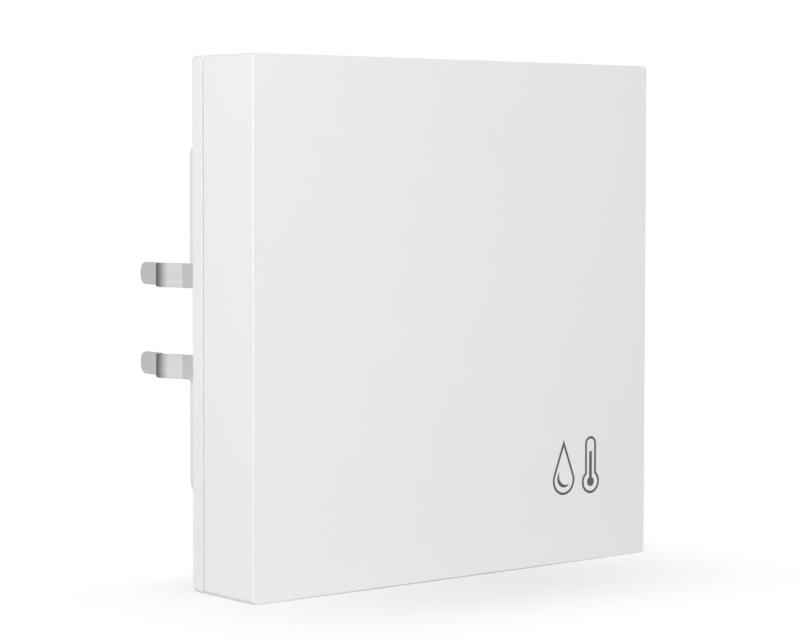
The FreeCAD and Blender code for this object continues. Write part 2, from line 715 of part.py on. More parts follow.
def notched_outline(sketch, half_width, low, high, notch_in, notch_half):
    """A rectangle with a notch in the middle of its left and right sides."""
    inner = half_width - notch_in
    polygon(sketch, [
        (-half_width, low), (half_width, low),
        (half_width, -notch_half), (inner, -notch_half),
        (inner, notch_half), (half_width, notch_half),
        (half_width, high), (-half_width, high),
        (-half_width, notch_half), (-inner, notch_half),
        (-inner, -notch_half), (-half_width, -notch_half)])


def inlet_rectangle(sketch, width, height):
    rectangle(sketch, -width / 2, width / 2, -dim.inlet_low - height / 2, -dim.inlet_low + height / 2)


def make_rear_housing():
    """The tub behind the plate that enters the wall box and holds the main board."""
    tub = new_body("rear_housing")
    outline = sketch_on(tub, "XZ_Plane", -dim.housing_depth)
    notched_outline(outline, housing_half, housing_bottom, housing_top, dim.notch_depth, dim.notch_half)
    pad(tub, outline, dim.housing_depth)
    corners = (housing_top.value, housing_bottom.value)
    round_edges(tub, dim.housing_corner, lambda edge: runs_along(edge, Vector(0, 1, 0))
                and min(abs(edge.CenterOfMass.z - level) for level in corners) < 1e-4)
    round_edges(tub, dim.housing_back_round, lambda edge: lies_at(edge, 1, dim.housing_depth))
    wall = dim.housing_wall
    hollow = sketch_on(tub, "XZ_Plane", ZERO)
    notched_outline(hollow, housing_half - wall, housing_bottom + wall, housing_top - wall,
                    dim.notch_depth, dim.notch_half + dim.notch_wall)
    pocket(tub, hollow, dim.housing_depth - dim.housing_floor)
    bosses = sketch_on(tub, "XZ_Plane", -(dim.housing_depth - dim.housing_floor))
    for across, along in screw_places():
        circle(bosses, across, along, dim.boss_radius)
    pad(tub, bosses, dim.housing_depth - dim.housing_floor - board_back)
    holes = sketch_on(tub, "XZ_Plane", -board_back)
    for across, along in screw_places():
        circle(holes, across, along, dim.screw_hole)
    pocket(tub, holes, dim.screw_shank - dim.plate_depth - board_back + dim.board_pad)
    inlet = sketch_on(tub, "XZ_Plane", -dim.housing_depth)
    inlet_rectangle(inlet, dim.inlet_width, dim.inlet_height)
    pocket(tub, inlet, dim.housing_floor, backwards=True)
    plaque = sketch_on(tub, "XZ_Plane", -dim.housing_depth)
    rectangle(plaque, -dim.plaque_width / 2, dim.plaque_width / 2,
              dim.plaque_mid - dim.plaque_height / 2, dim.plaque_mid + dim.plaque_height / 2)
    pocket(tub, plaque, dim.plaque_depth, backwards=True)
    rivets = sketch_on(tub, "YZ_Plane", ZERO)
    for level in (DOWN, UP):
        circle(rivets, dim.rivet_back, dim.rivet_rise * level, dim.rivet_radius)
    pocket(tub, rivets, through=True)
    keep("rear_housing", tub)


# Screws and rivets

def pan_screw(name, across, along, head_back, sizes):
    """A pan-head screw from the front, with a cross slot, its head resting head_back off the wall."""
    head_radius, head_depth, shank_radius, shank_length, slot_length = sizes
    back = Vector(0, 1, 0)
    head_front = -(head_back + head_depth)
    head = rod(name + "_head", (across, head_front, along), back, head_radius, head_depth)
    shank = rod(name + "_shank", (across, -head_back, along), back, shank_radius, shank_length)
    blank = joined(name + "_blank", [head, shank])
    slot_front = head_back + head_depth
    deep = dim.drive_depth
    wide = dim.drive_width
    level = block(name + "_slot_level", across, slot_front, along, slot_length, deep, wide)
    upright = block(name + "_slot_upright", across, slot_front, along, wide, deep, slot_length)
    return without(name, blank, joined(name + "_cross", [level, upright]))


def make_screws():
    """The screws that clamp plate, board and housing, and the two that hold the sensor board."""
    large = (dim.screw_head, dim.screw_head_depth, dim.screw_radius, dim.screw_shank, dim.drive_length)
    screws = [pan_screw("housing_screw", across, along, plate_front, large)
              for across, along in screw_places()]
    keep("housing_screws", grouped("housing_screws", screws))
    small = (dim.small_screw_head, dim.small_screw_head_depth, dim.small_screw, dim.small_screw_shank,
             dim.small_drive_length)
    screws = [pan_screw("sensor_screw", dim.post_mid * side, -dim.post_low, sensor_face, small)
              for side in (LEFT, RIGHT)]
    keep("sensor_board_screws", grouped("sensor_board_screws", screws))


def rivet(name, side, level):
    """A rivet through a clip plate and the housing's wall, closed on the inside."""
    inwards = Vector(-side, 0, 0)
    outer = (clip_face + dim.rivet_head_depth) * side
    inner = (housing_half - dim.housing_wall) * side
    up = dim.rivet_rise * level
    head = rod(name + "_head", (outer, dim.rivet_back, up), inwards, dim.rivet_head, dim.rivet_head_depth)
    shank = rod(name + "_shank", (clip_face * side, dim.rivet_back, up), inwards,
                dim.rivet_radius, dim.clip_thick + dim.housing_wall)
    foot = rod(name + "_foot", (inner, dim.rivet_back, up), inwards, dim.rivet_foot, dim.rivet_foot_depth)
    return joined(name, [head, shank, foot])


# Spring clips

def make_clip_plate(name, side):
    """The riveted part of a clip stamping: a plate with two tabs that the clips spring from."""
    plate = new_body(name)
    sketch = sketch_on(plate, "YZ_Plane", clip_face * side)
    front = dim.clip_plate_front
    back = dim.clip_plate_back
    near = dim.clip_mid - dim.clip_half
    far = dim.clip_mid + dim.clip_half
    tall = dim.clip_plate_half
    polygon(sketch, [
        (front, -tall), (back, -tall), (back, -far), (dim.clip_root, -far),
        (dim.clip_root, -near), (back, -near), (back, near), (dim.clip_root, near),
        (dim.clip_root, far), (back, far), (back, tall), (front, tall)])
    pad(plate, sketch, dim.clip_thick, backwards=side == RIGHT)
    holes = sketch_on(plate, "YZ_Plane", ZERO)
    for level in (DOWN, UP):
        circle(holes, dim.rivet_back, dim.rivet_rise * level, dim.rivet_radius)
    pocket(plate, holes, through=True)
    keep(name, plate)


class BentPath:
    """Straight runs joined by tangent arcs in a sketch, as a strip of sheet is bent."""

    def __init__(self, sketch, across, along):
        self.sketch = sketch
        self.origin = (across, along)
        self.point = Vector(across.value, along.value, 0)
        self.heading = None
        self.last = None
        self.radius = None

    def straight(self, across, along):
        """A straight run by these two offsets, after the bend asked for before it."""
        step = Vector(across.value, along.value, 0)
        heading = step * (1 / step.Length)
        if self.radius is not None:
            self.arc_to(heading)
        end = self.point + step
        line = self.sketch.addGeometry(Part.LineSegment(self.point, end), False)
        if self.last is None:
            hold_point(self.sketch, line, 1, *self.origin)
        else:
            geometry, position = self.last
            self.sketch.addConstraint(Sketcher.Constraint("Tangent", geometry, position, line, 1))
        if abs(across.value) < 1e-9:
            self.sketch.addConstraint(Sketcher.Constraint("Vertical", line))
        else:
            hold_length(self.sketch, "DistanceX", (line, 1, line, 2), across)
        hold_length(self.sketch, "DistanceY", (line, 1, line, 2), along)
        self.last = (line, 2)
        self.point = end
        self.heading = heading
        self.radius = None

    def bend(self, radius):
        self.radius = radius

    def arc_to(self, heading):
        """The arc that turns the path from its heading to the next one."""
        turn = self.heading.cross(heading).z
        side = 1 if turn > 0 else -1
        radius = self.radius.value
        centre = self.point + Vector(-self.heading.y, self.heading.x, 0) * (side * radius)
        end = centre + Vector(heading.y, -heading.x, 0) * (side * radius)
        first = math.atan2(self.point.y - centre.y, self.point.x - centre.x)
        second = math.atan2(end.y - centre.y, end.x - centre.x)
        if side < 0:
            first, second = second, first
        if second < first:
            second += 2 * math.pi
        shape = Part.ArcOfCircle(Part.Circle(centre, Vector(0, 0, 1), radius), first, second)
        arc = self.sketch.addGeometry(shape, False)
        entry = 1 if side > 0 else 2
        geometry, position = self.last
        self.sketch.addConstraint(Sketcher.Constraint("Tangent", geometry, position, arc, entry))
        hold_length(self.sketch, "Radius", (arc,), self.radius)
        self.last = (arc, 3 - entry)
        self.point = end


def make_clip(name, side, level):
    """One spring clip: it slopes outwards to a crest, turns in and ends in a rounded tongue."""
    clip = new_body(name)
    middle = (clip_face - dim.clip_thick / 2) * side
    rise = dim.clip_mid * level
    spine = sketch_on(clip, "XY_Plane", rise)
    path = BentPath(spine, middle, dim.clip_root)
    path.straight(ZERO, dim.clip_lead)
    path.bend(dim.clip_bend)
    path.straight(dim.clip_out * side, dim.clip_back)
    path.bend(dim.crest_bend)
    path.straight(dim.return_in * -side, dim.return_back)
    path.bend(dim.tongue_bend)
    path.straight(ZERO, dim.tongue_length)
    section = sketch_on(clip, "XZ_Plane", -dim.clip_root)
    rectangle(section, middle - dim.clip_thick / 2, middle + dim.clip_thick / 2,
              rise - dim.clip_half, rise + dim.clip_half)
    doc.recompute()
    strip = clip.newObject("PartDesign::AdditivePipe", name + "_strip")
    strip.Profile = section
    strip.Spine = spine
    doc.recompute()
    end = clip.Shape.BoundBox.YMax
    edges = sketch_on(clip, "YZ_Plane", ZERO)
    for edge_side in (DOWN, UP):
        wide = rise + dim.clip_half * edge_side
        narrow = rise + dim.tongue_half * edge_side
        outside = rise + dim.clip_half * 2 * edge_side
        past_end = dim.shoulder_back + dim.clip_root * 2
        polygon(edges, [(dim.shoulder_back, wide), (dim.shoulder_back + dim.shoulder_run, narrow),
                        (past_end, narrow), (past_end, outside), (dim.shoulder_back, outside)])
    pocket(clip, edges, through=True)
    round_edges(clip, dim.tongue_round, lambda edge: runs_along(edge, Vector(1, 0, 0))
                and abs(edge.CenterOfMass.y - end) < 1e-4)
    keep(name, clip)


def make_clips():
    for side, side_name in ((LEFT, "left"), (RIGHT, "right")):
        make_clip_plate("clip_plate_" + side_name, side)
        rivets = [rivet("clip_rivet", side, level) for level in (DOWN, UP)]
        keep("clip_rivets_" + side_name, grouped("clip_rivets_" + side_name, rivets))
        for level, level_name in ((DOWN, "lower"), (UP, "upper")):
            make_clip("clip_%s_%s" % (level_name, side_name), side, level)


# Main board and bus inlet

def link_places():
    """The link pins' distances from the middle, left to right."""
    return [dim.link_pitch * (number - (LINK_PINS - 1) / 2) for number in range(LINK_PINS)]


def bus_pin_places():
    low = -(dim.inlet_low + dim.pin_drop)
    return [(dim.pin_pitch / 2 * side, low) for side in (LEFT, RIGHT)]


def make_main_board():
    """The circuit board, cut out beside the clips and clamped at its four corners."""
    board = new_body("main_board")
    outline = sketch_on(board, "XZ_Plane", -board_back)
    low = dim.housing_rise - dim.board_half
    high = dim.housing_rise + dim.board_half
    notched_outline(outline, dim.board_side, low, high, dim.board_side - dim.board_notch,
                    dim.board_notch_half)
    pad(board, outline, dim.board_thick)
    corners = (low.value, high.value)
    round_edges(board, dim.board_corner, lambda edge: runs_along(edge, Vector(0, 1, 0))
                and min(abs(edge.CenterOfMass.z - level) for level in corners) < 1e-4)
    holes = sketch_on(board, "XZ_Plane", ZERO)
    for across, along in screw_places():
        circle(holes, across, along, dim.screw_pass)
    for across in link_places():
        circle(holes, across, -dim.link_low, dim.link_hole)
    for across, along in bus_pin_places():
        circle(holes, across, along, dim.pin_root_radius)
    pocket(board, holes, through=True)
    keep("main_board", board)


def bus_pin(across, along):
    """A pin with a thicker root, a free round length and a tapered end."""
    back = Vector(0, 1, 0)
    start = board_front - dim.pin_tail
    free = board_back + dim.header_floor
    taper = dim.housing_depth - dim.pin_recess - dim.pin_taper
    root = rod("bus_pin_root", (across, start, along), back, dim.pin_root_radius, free - start)
    shank = rod("bus_pin_shank", (across, free, along), back, dim.pin_radius, taper - free)
    point = doc.addObject("Part::Cone", "bus_pin_point")
    point.Placement = FreeCAD.Placement(Vector(), FreeCAD.Rotation(Vector(0, 0, 1), back))
    bind(point, "Radius1", dim.pin_radius)
    bind(point, "Radius2", dim.pin_point)
    bind(point, "Height", dim.pin_taper)
    for axis, size in zip("xyz", (across, taper, along)):
        bind(point, "Placement.Base." + axis, as_size(size))
    return joined("bus_pin", [root, shank, point])


def make_bus_inlet():
    """The header behind the board, open to the back, with the two pins of the bus terminal."""
    header = new_body("bus_header")
    play = dim.header_play * 2
    outline = sketch_on(header, "XZ_Plane", -dim.housing_depth)
    inlet_rectangle(outline, dim.inlet_width - play, dim.inlet_height - play)
    pad(header, outline, dim.housing_depth - board_back)
    walls = play + dim.header_wall * 2
    mouth = sketch_on(header, "XZ_Plane", -dim.housing_depth)
    inlet_rectangle(mouth, dim.inlet_width - walls, dim.inlet_height - walls)
    pocket(header, mouth, dim.housing_depth - board_back - dim.header_floor, backwards=True)
    holes = sketch_on(header, "XZ_Plane", ZERO)
    for across, along in bus_pin_places():
        circle(holes, across, along, dim.pin_root_radius)
    pocket(header, holes, through=True)
    keep("bus_header", header)
    pins = [bus_pin(across, along) for across, along in bus_pin_places()]
    keep("bus_pins", grouped("bus_pins", pins))


# Parts on the main board

def on_board(name, across, up, width, tall, height, lift=ZERO):
    """A block that stands on the board's front, lifted off it by lift."""
    return block(name, across, -board_front + lift + tall, up, width, tall, height)


def bent_lead(name, body_edge, direction, across, up, tall):
    """A chip's lead: a flat out of the body's side and a leg down to the board."""
    sideways, upwards = direction
    wide = dim.lead_wide
    thick = dim.lead_thick
    half_reach = dim.lead_reach / 2
    level = dim.chip_gap + tall / 2
    pieces = []
    for part, out, run, height, depth in (
            ("_flat", body_edge + half_reach / 2, half_reach, level, thick),
            ("_leg", body_edge + half_reach, thick, level, level),
            ("_foot", body_edge + half_reach + half_reach / 2, half_reach, thick, thick)):
        width, tallness = (run, wide) if sideways else (wide, run)
        pieces.append(block(name + part, across + out * sideways, -board_front + height,
                            up + out * upwards, width, depth, tallness))
    return pieces


def make_chips():
    """The microcontroller with leads on four sides, and the bus transceiver with leads on two."""
    across = dim.controller_x
    up = dim.controller_z
    side = dim.controller_size
    tall = dim.controller_tall
    parts = [on_board("controller_body", across, up, side, tall, side, dim.chip_gap)]
    for number in range(CONTROLLER_LEADS):
        shift = dim.controller_pitch * (number - (CONTROLLER_LEADS - 1) / 2)
        for sign in (LEFT, RIGHT):
            parts += bent_lead("controller_lead", side / 2, (sign, 0), across, up + shift, tall)
            parts += bent_lead("controller_lead", side / 2, (0, sign), across + shift, up, tall)
    keep("microcontroller", joined("microcontroller", parts))
    across = dim.driver_x
    up = dim.driver_z
    tall = dim.driver_tall
    parts = [on_board("driver_body", across, up, dim.driver_width, tall, dim.driver_length, dim.chip_gap)]
    for number in range(DRIVER_LEADS):
        shift = dim.driver_pitch * (number - (DRIVER_LEADS - 1) / 2)
        for sign in (LEFT, RIGHT):
            parts += bent_lead("driver_lead", dim.driver_width / 2, (sign, 0), across, up + shift, tall)
    keep("bus_transceiver", joined("bus_transceiver", parts))


def make_power_parts():
    """Storage capacitor, inductor, surge diode and regulator: the part that lives off the bus."""
    base = on_board("storage_foot", dim.storage_x, dim.storage_z, dim.storage_base,
                    dim.storage_base_tall, dim.storage_base)
    can = rod("storage_can", (dim.storage_x, board_front - dim.storage_base_tall, dim.storage_z),
              Vector(0, -1, 0), dim.storage_radius, dim.storage_tall)
    keep("storage_capacitor", joined("storage_capacitor", [base, can]))
    core = new_body("power_inductor")
    outline = sketch_on(core, "XZ_Plane", -board_front)
    half = dim.inductor_size / 2
    cut = half - dim.inductor_chamfer
    middle_x = dim.inductor_x
    middle_z = dim.inductor_z
    corners = [(half, -cut), (half, cut), (cut, half), (-cut, half),
               (-half, cut), (-half, -cut), (-cut, -half), (cut, -half)]
    polygon(outline, [(middle_x + across, middle_z + along) for across, along in corners])
    pad(core, outline, dim.inductor_tall)
    keep("power_inductor", core)
    diode = [on_board("surge_body", dim.surge_x, dim.surge_z, dim.surge_length, dim.surge_tall,
                      dim.surge_width)]
    diode.append(on_board("surge_tabs", dim.surge_x, dim.surge_z, dim.surge_length + dim.surge_tab,
                          dim.lead_thick, dim.surge_tab))
    keep("surge_diode", joined("surge_diode", diode))
    regulator = [on_board("regulator_body", dim.regulator_x, dim.regulator_z, dim.regulator_length,
                          dim.regulator_tall, dim.regulator_width)]
    regulator.append(on_board("regulator_heat_tab", dim.regulator_x,
                              dim.regulator_z + dim.regulator_width / 2 + dim.lead_reach / 2,
                              dim.regulator_tab, dim.lead_thick, dim.lead_reach))
    for number in (LEFT, 0, RIGHT):
        regulator.append(on_board("regulator_leg", dim.regulator_x + dim.regulator_pitch * number,
                                  dim.regulator_z - dim.regulator_width / 2 - dim.lead_reach / 2,
                                  dim.regulator_leg, dim.lead_thick, dim.lead_reach))
    keep("voltage_regulator", joined("voltage_regulator", regulator))


def make_small_parts():
    """Rows of ceramic capacitors and chip resistors beside the chips they serve."""
    capacitors = []
    for number in range(CAPACITORS_IN_ROW):
        shift = dim.small_pitch * (number - (CAPACITORS_IN_ROW - 1) / 2)
        for across, up in ((dim.cap_row_left, dim.controller_z), (dim.cap_row_right, dim.driver_z)):
            capacitors.append(on_board("ceramic_capacitor", across, up + shift,
                                       dim.small_length, dim.small_cap_tall, dim.small_width))
    keep("ceramic_capacitors", grouped("ceramic_capacitors", capacitors))
    resistors = []
    for number in range(RESISTORS_IN_ROW):
        place = number - (RESISTORS_IN_ROW - 1) / 2
        resistors.append(on_board("chip_resistor", dim.controller_x + dim.small_pitch * place,
                                  dim.resistor_row_up, dim.small_width, dim.small_res_tall, dim.small_length))
        resistors.append(on_board("chip_resistor", dim.resistor_row_side,
                                  dim.switch_z + dim.small_pitch_tight * place,
                                  dim.small_length, dim.small_res_tall, dim.small_width))
    keep("chip_resistors", grouped("chip_resistors", resistors))
    keep("quartz_crystal", on_board("quartz_crystal", dim.crystal_x, dim.crystal_z,
                                    dim.crystal_width, dim.crystal_tall, dim.crystal_height))


def make_programming_parts():
    """The push switch, its snap dome and button, and the lamp beside it."""
    size = dim.switch_size
    body = on_board("switch_block", dim.switch_x, dim.switch_z, size, dim.switch_tall, size)
    well_front = board_front - dim.switch_tall
    forwards = Vector(0, -1, 0)
    well = rod("switch_well_cut", (dim.switch_x, well_front + dim.switch_well, dim.switch_z), forwards,
               dim.button_radius + dim.button_play, dim.switch_well)
    housing = without("switch_housing", body, well)
    legs = []
    for level in (DOWN, UP):
        legs.append(on_board("switch_leg_strip", dim.switch_x, dim.switch_z + dim.switch_leg_place * level,
                             size + dim.lead_reach * 2, dim.lead_thick, dim.switch_leg))
    keep("programming_switch", joined("programming_switch", [housing] + legs))
    dome = rod("switch_dome", (dim.switch_x, well_front + dim.switch_well, dim.switch_z), forwards,
               dim.dome_radius, dim.dome_thick)
    keep("switch_dome", dome)
    button = new_body("programming_button")
    start = -(well_front + dim.switch_well) + dim.dome_thick + dim.button_lift
    sketch = sketch_on(button, "XZ_Plane", start)
    circle(sketch, dim.switch_x, dim.switch_z, dim.button_radius)
    pad(button, sketch, dim.button_tall)
    front = -(start + dim.button_tall)
    round_edges(button, dim.button_round, lambda edge: lies_at(edge, 1, front))
    keep("programming_button", button)
    foot = on_board("lamp_foot", dim.lamp_x, dim.lamp_z, dim.lamp_length, dim.lamp_tall, dim.lamp_width)
    lens = on_board("lamp_lens_block", dim.lamp_x, dim.lamp_z, dim.lamp_width, dim.lamp_lens,
                    dim.lamp_width, dim.lamp_tall)
    keep("programming_lamp", joined("programming_lamp", [foot, lens]))


# Sensor board

def make_sensor_board():
    """The small board in the air stream, with slots that keep the warmth of the electronics out."""
    board = new_body("sensor_board")
    outline = sketch_on(board, "XZ_Plane", sensor_back)
    rectangle(outline, -dim.sensor_half, dim.sensor_half, -dim.sensor_low, -dim.sensor_high)
    pad(board, outline, dim.sensor_thick)
    round_edges(board, dim.board_corner, upright_edges(dim.sensor_half))
    cuts = sketch_on(board, "XZ_Plane", sensor_back)
    for side in (LEFT, RIGHT):
        circle(cuts, dim.post_mid * side, -dim.post_low, dim.small_screw_pass)
    for across in link_places():
        circle(cuts, across, -dim.link_low, dim.link_hole)
    pocket(board, cuts, through=True)
    slots = sketch_on(board, "XZ_Plane", sensor_back)
    half = dim.slot_half
    wide = dim.slot_width
    rectangle(slots, -half + wide, half - wide, -dim.slot_low - wide / 2, -dim.slot_low + wide / 2)
    bottom = -dim.sensor_low + wide
    for side in (LEFT, RIGHT):
        rectangle(slots, half * side - wide / 2, half * side + wide / 2, bottom, -dim.slot_low - wide)
    pocket(board, slots, through=True)
    keep("sensor_board", board)


def make_sensing_element():
    """The temperature and humidity element, with the port that lets the air in."""
    size = dim.element_size
    front = sensor_face + dim.element_tall
    body = block("element_block", ZERO, front, -dim.element_low, size, dim.element_tall, size)
    port = rod("element_port_cut", (ZERO, -front, -dim.element_low), Vector(0, 1, 0),
               dim.element_port, dim.element_port_depth)
    keep("sensing_element", without("sensing_element", body, port))


def make_link():
    """Pins, header and socket that carry the sensor board's signals to the main board."""
    length = dim.link_pitch * LINK_PINS
    up = -dim.link_low
    base = block("link_block", ZERO, -board_front + dim.link_base, up, length, dim.link_base, dim.link_width)
    socket = block("socket_block", ZERO, sensor_back, up, length, dim.link_socket_deep, dim.link_width)
    start = sensor_face + dim.link_tail
    pin_length = start + board_back + dim.link_tail
    pins = [block("link_pin_rod", across, start, up, dim.link_pin, pin_length, dim.link_pin)
            for across in link_places()]
    bores = [block("link_pin_bore", across, start, up, dim.link_pin, pin_length, dim.link_pin)
             for across in link_places()]
    keep("link_header", without("link_header", base, grouped("link_header_bores", bores)))
    keep("link_socket", without("link_socket", socket, grouped("link_socket_bores", bores)))
    keep("link_pins", grouped("link_pins", pins))


def make_foam_wall():
    """Foam on three sides of the sensing element, open to the air slots below."""
    foam = new_body("foam_wall")
    sketch = sketch_on(foam, "XZ_Plane", sensor_face)
    half = dim.foam_half
    inner = half - dim.foam_thick
    top = -dim.foam_top
    low = -dim.sensor_low
    under = top - dim.foam_thick
    polygon(sketch, [(-half, low), (-inner, low), (-inner, under), (inner, under),
                     (inner, low), (half, low), (half, top), (-half, top)])
    pad(foam, sketch, cover_inside - sensor_face - dim.foam_gap)
    keep("foam_wall", foam)


def check_document():
    """Stop if any object failed or any sub-part has no valid solid."""
    doc.recompute()
    for item in doc.Objects:
        if "Invalid" in item.State or "Error" in item.State:
            raise RuntimeError("%s failed: %s" % (item.Name, item.State))
    for name, item in nodes.items():
        shape = item.Shape
        if shape.isNull() or not shape.isValid() or not shape.Solids:
            raise RuntimeError("%s has no valid solid" % name)


def write_parts():
    os.makedirs("parts", exist_ok=True)
    for name, item in nodes.items():
        item.Shape.exportStep("parts/%s.step" % name)
        box = item.Shape.BoundBox
        print("%-22s %2d solid(s) %9.2f mm3  X %7.2f %7.2f  Y %7.2f %7.2f  Z %7.2f %7.2f" % (
            name, len(item.Shape.Solids), item.Shape.Volume,
            box.XMin, box.XMax, box.YMin, box.YMax, box.ZMin, box.ZMax))


symbol_parts = [make_drop_symbol(), make_thermometer_symbol()]
make_front_cover(symbol_parts)
make_base_plate()
make_rear_housing()
make_screws()
make_clips()
make_main_board()
make_bus_inlet()
make_chips()
make_power_parts()
make_small_parts()
make_programming_parts()
make_sensor_board()
make_sensing_element()
make_link()
make_foam_wall()
check_document()
write_parts()
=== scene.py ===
# %% [markdown]
# A room sensor for the wall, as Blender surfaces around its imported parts. The packed
# model gives every part its true place and size. This script gives each part its
# finish, and makes new surfaces where a part needs more detail than its solid has.
# +X is right, +Y goes into the wall and +Z is up. Surfaces are worked out in
# millimetres, as on a maker's drawing, and turned to metres when a mesh is made.

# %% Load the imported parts
import json
import math
import bmesh
import bpy
import numpy as np
from mathutils import Matrix, Vector


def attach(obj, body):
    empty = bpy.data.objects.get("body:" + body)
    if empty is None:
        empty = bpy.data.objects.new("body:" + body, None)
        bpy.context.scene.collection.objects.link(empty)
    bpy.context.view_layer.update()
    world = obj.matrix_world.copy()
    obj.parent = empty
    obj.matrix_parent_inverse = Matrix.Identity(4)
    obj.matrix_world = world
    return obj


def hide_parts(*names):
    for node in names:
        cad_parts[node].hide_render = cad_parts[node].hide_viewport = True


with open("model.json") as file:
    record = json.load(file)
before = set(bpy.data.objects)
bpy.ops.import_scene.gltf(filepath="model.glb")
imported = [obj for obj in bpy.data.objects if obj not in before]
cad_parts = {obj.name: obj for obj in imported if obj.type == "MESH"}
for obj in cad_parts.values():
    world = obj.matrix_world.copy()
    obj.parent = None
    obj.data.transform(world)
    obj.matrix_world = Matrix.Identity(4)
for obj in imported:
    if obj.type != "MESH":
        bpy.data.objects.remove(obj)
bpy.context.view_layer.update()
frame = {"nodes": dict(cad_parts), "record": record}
MM = 0.001
LEFT, RIGHT, DOWN, UP = -1, 1, -1, 1
SIDES_X, SIDES_Z = ((1, 0), (-1, 0)), ((0, 1), (0, -1))
record = frame["record"]
BODY_OF = {node: body for body, nodes in record["behaviour"]["bodies"].items() for node in nodes}

# %% [markdown]
# The camera stands to the left and a little above the middle, turned 40 degrees, so
# that the front and the left side both show. A long lens keeps the upright edges
# nearly parallel. Its place and turn come from the corners of an 86 mm square seen in
# perspective.

# %% Camera
CAMERA_PLACE = Vector((-0.27742, -0.33444, 0.02680))
CAMERA_TURN, CAMERA_DIP, CAMERA_ROLL = 39.708, 2.744, 0.106
FOCAL_PIXELS, CONTENT_UP_PIXELS, IMAGE_WIDTH = 2546.0, 40, 800
SENSOR = 36.0


def linked(name, data):
    """A new object in the scene."""
    thing = bpy.data.objects.new(name, data)
    bpy.context.scene.collection.objects.link(thing)
    return thing


camera_data = bpy.data.cameras.new("camera")
camera_data.sensor_width = SENSOR
camera_data.lens = FOCAL_PIXELS / IMAGE_WIDTH * SENSOR
camera_data.shift_y = -CONTENT_UP_PIXELS / IMAGE_WIDTH
camera_data.clip_start, camera_data.clip_end = 0.01, 20.0
stand = Matrix.Translation(CAMERA_PLACE)
for angle, axis in ((-CAMERA_TURN, "Z"), (90 - CAMERA_DIP, "X"), (CAMERA_ROLL, "Z")):
    stand = stand @ Matrix.Rotation(math.radians(angle), 4, axis)
camera = linked("camera", camera_data)
camera.matrix_world = stand
bpy.context.scene.camera = camera
bpy.context.scene.view_settings.view_transform = "Standard"
print("lens", round(camera_data.lens, 1), "mm")

# %% [markdown]
# Materials are built from nodes. Small helpers keep that short: an input that is given
# another node's output is linked to it.

# %% Node helpers
def add_node(tree, kind, inputs=None, **settings):
    """A node with its settings, each input set to a value or linked to a socket."""
    node = tree.nodes.new(kind)
    for name, value in settings.items():
        setattr(node, name, value)
    for name, value in (inputs or {}).items():
        if isinstance(value, bpy.types.NodeSocket):
            tree.links.new(value, node.inputs[name])
        else:
            node.inputs[name].default_value = value
    return node


def new_tree(owner):
    """The owner's node tree, emptied."""
    owner.use_nodes = True
    owner.node_tree.nodes.clear()
    return owner.node_tree


def mix_colours(tree, share, low, high):
    """The colour low where share is 0, high where it is 1."""
    return add_node(tree, "ShaderNodeMix", {0: share, 6: low, 7: high}, data_type="RGBA").outputs[2]


def blend(tree, share, low, high):
    """The shader low where share is 0, high where it is 1."""
    return add_node(tree, "ShaderNodeMixShader", {0: share, 1: low, 2: high}).outputs[0]


def sum_up(tree, operation, first, second):
    """One arithmetic step on two values."""
    return add_node(tree, "ShaderNodeMath", {0: first, 1: second}, operation=operation).outputs[0]


def product(tree, first, *others):
    """All the values multiplied together."""
    for other in others:
        first = sum_up(tree, "MULTIPLY", first, other)
    return first


def weighted(tree, share, first, second):
    """The first value times the share, and the second times the rest."""
    return sum_up(tree, "ADD", product(tree, first, share), product(tree, second, 1 - share))


def spread(tree, value, low, high, to_low=0.0, to_high=1.0, **settings):
    """The value's range low to high, stretched to to_low to to_high and held there."""
    return add_node(tree, "ShaderNodeMapRange", {0: value, 1: low, 2: high, 3: to_low, 4: to_high},
                    **settings).outputs[0]


def place_axes(tree):
    """The place on the object, as X, Y and Z."""
    place = add_node(tree, "ShaderNodeTexCoord").outputs["Object"]
    return add_node(tree, "ShaderNodeSeparateXYZ", {0: place}).outputs


def grey(level):
    """A neutral colour with its alpha."""
    return (level, level, level, 1.0)


def glow(tree, colour, level, kind="ShaderNodeEmission"):
    """A shader that gives off its own light."""
    return add_node(tree, kind, {"Color": colour, "Strength": level}).outputs[0]


# %% [markdown]
# The picture has a pure white background. The world is one even, soft level of light.
# Rays that go straight to the camera, through glass or off a polished surface see it
# as plain white, so metal shows a white room, while the light that falls on the
# device stays at the level that makes its colours render as they are written.

# %% World light
WORLD_LEVEL = 0.53
world = bpy.data.worlds.new("studio")
bpy.context.scene.world = world
studio = new_tree(world)
rays = add_node(studio, "ShaderNodeLightPath").outputs
direct = sum_up(studio, "MAXIMUM", rays["Is Camera Ray"], rays["Is Transmission Ray"])
seen = sum_up(studio, "MAXIMUM", direct, rays["Is Glossy Ray"])
levels = [glow(studio, grey(1), level, "ShaderNodeBackground") for level in (WORLD_LEVEL, 1.0)]
add_node(studio, "ShaderNodeOutputWorld", {"Surface": blend(studio, seen, *levels)})
print("world level", WORLD_LEVEL)

# %% [markdown]
# The device stands on white paper. Close to it the paper keeps its soft shadow. Further
# off the camera sees more and more plain white in it, so the paper fades into the
# background and no horizon shows. A camera below it looks through it, and a faint
# light under the footprint shows the device's underside.

# %% Floor
FLOOR_HALF = 3.0
FLOOR_LEVEL = -43.05 * MM
FLOOR_COLOUR = 0.9
UNDER_BOX = (("X", -0.0405, 0.0405), ("Y", -0.0138, -0.003))
UNDER_LEVEL = 0.62
SHADE_RAMPS = (("X", 0.005, 0.058), ("X", -0.005, -0.068), ("Y", -0.0215, -0.0615), ("Y", 0.0, 0.018))


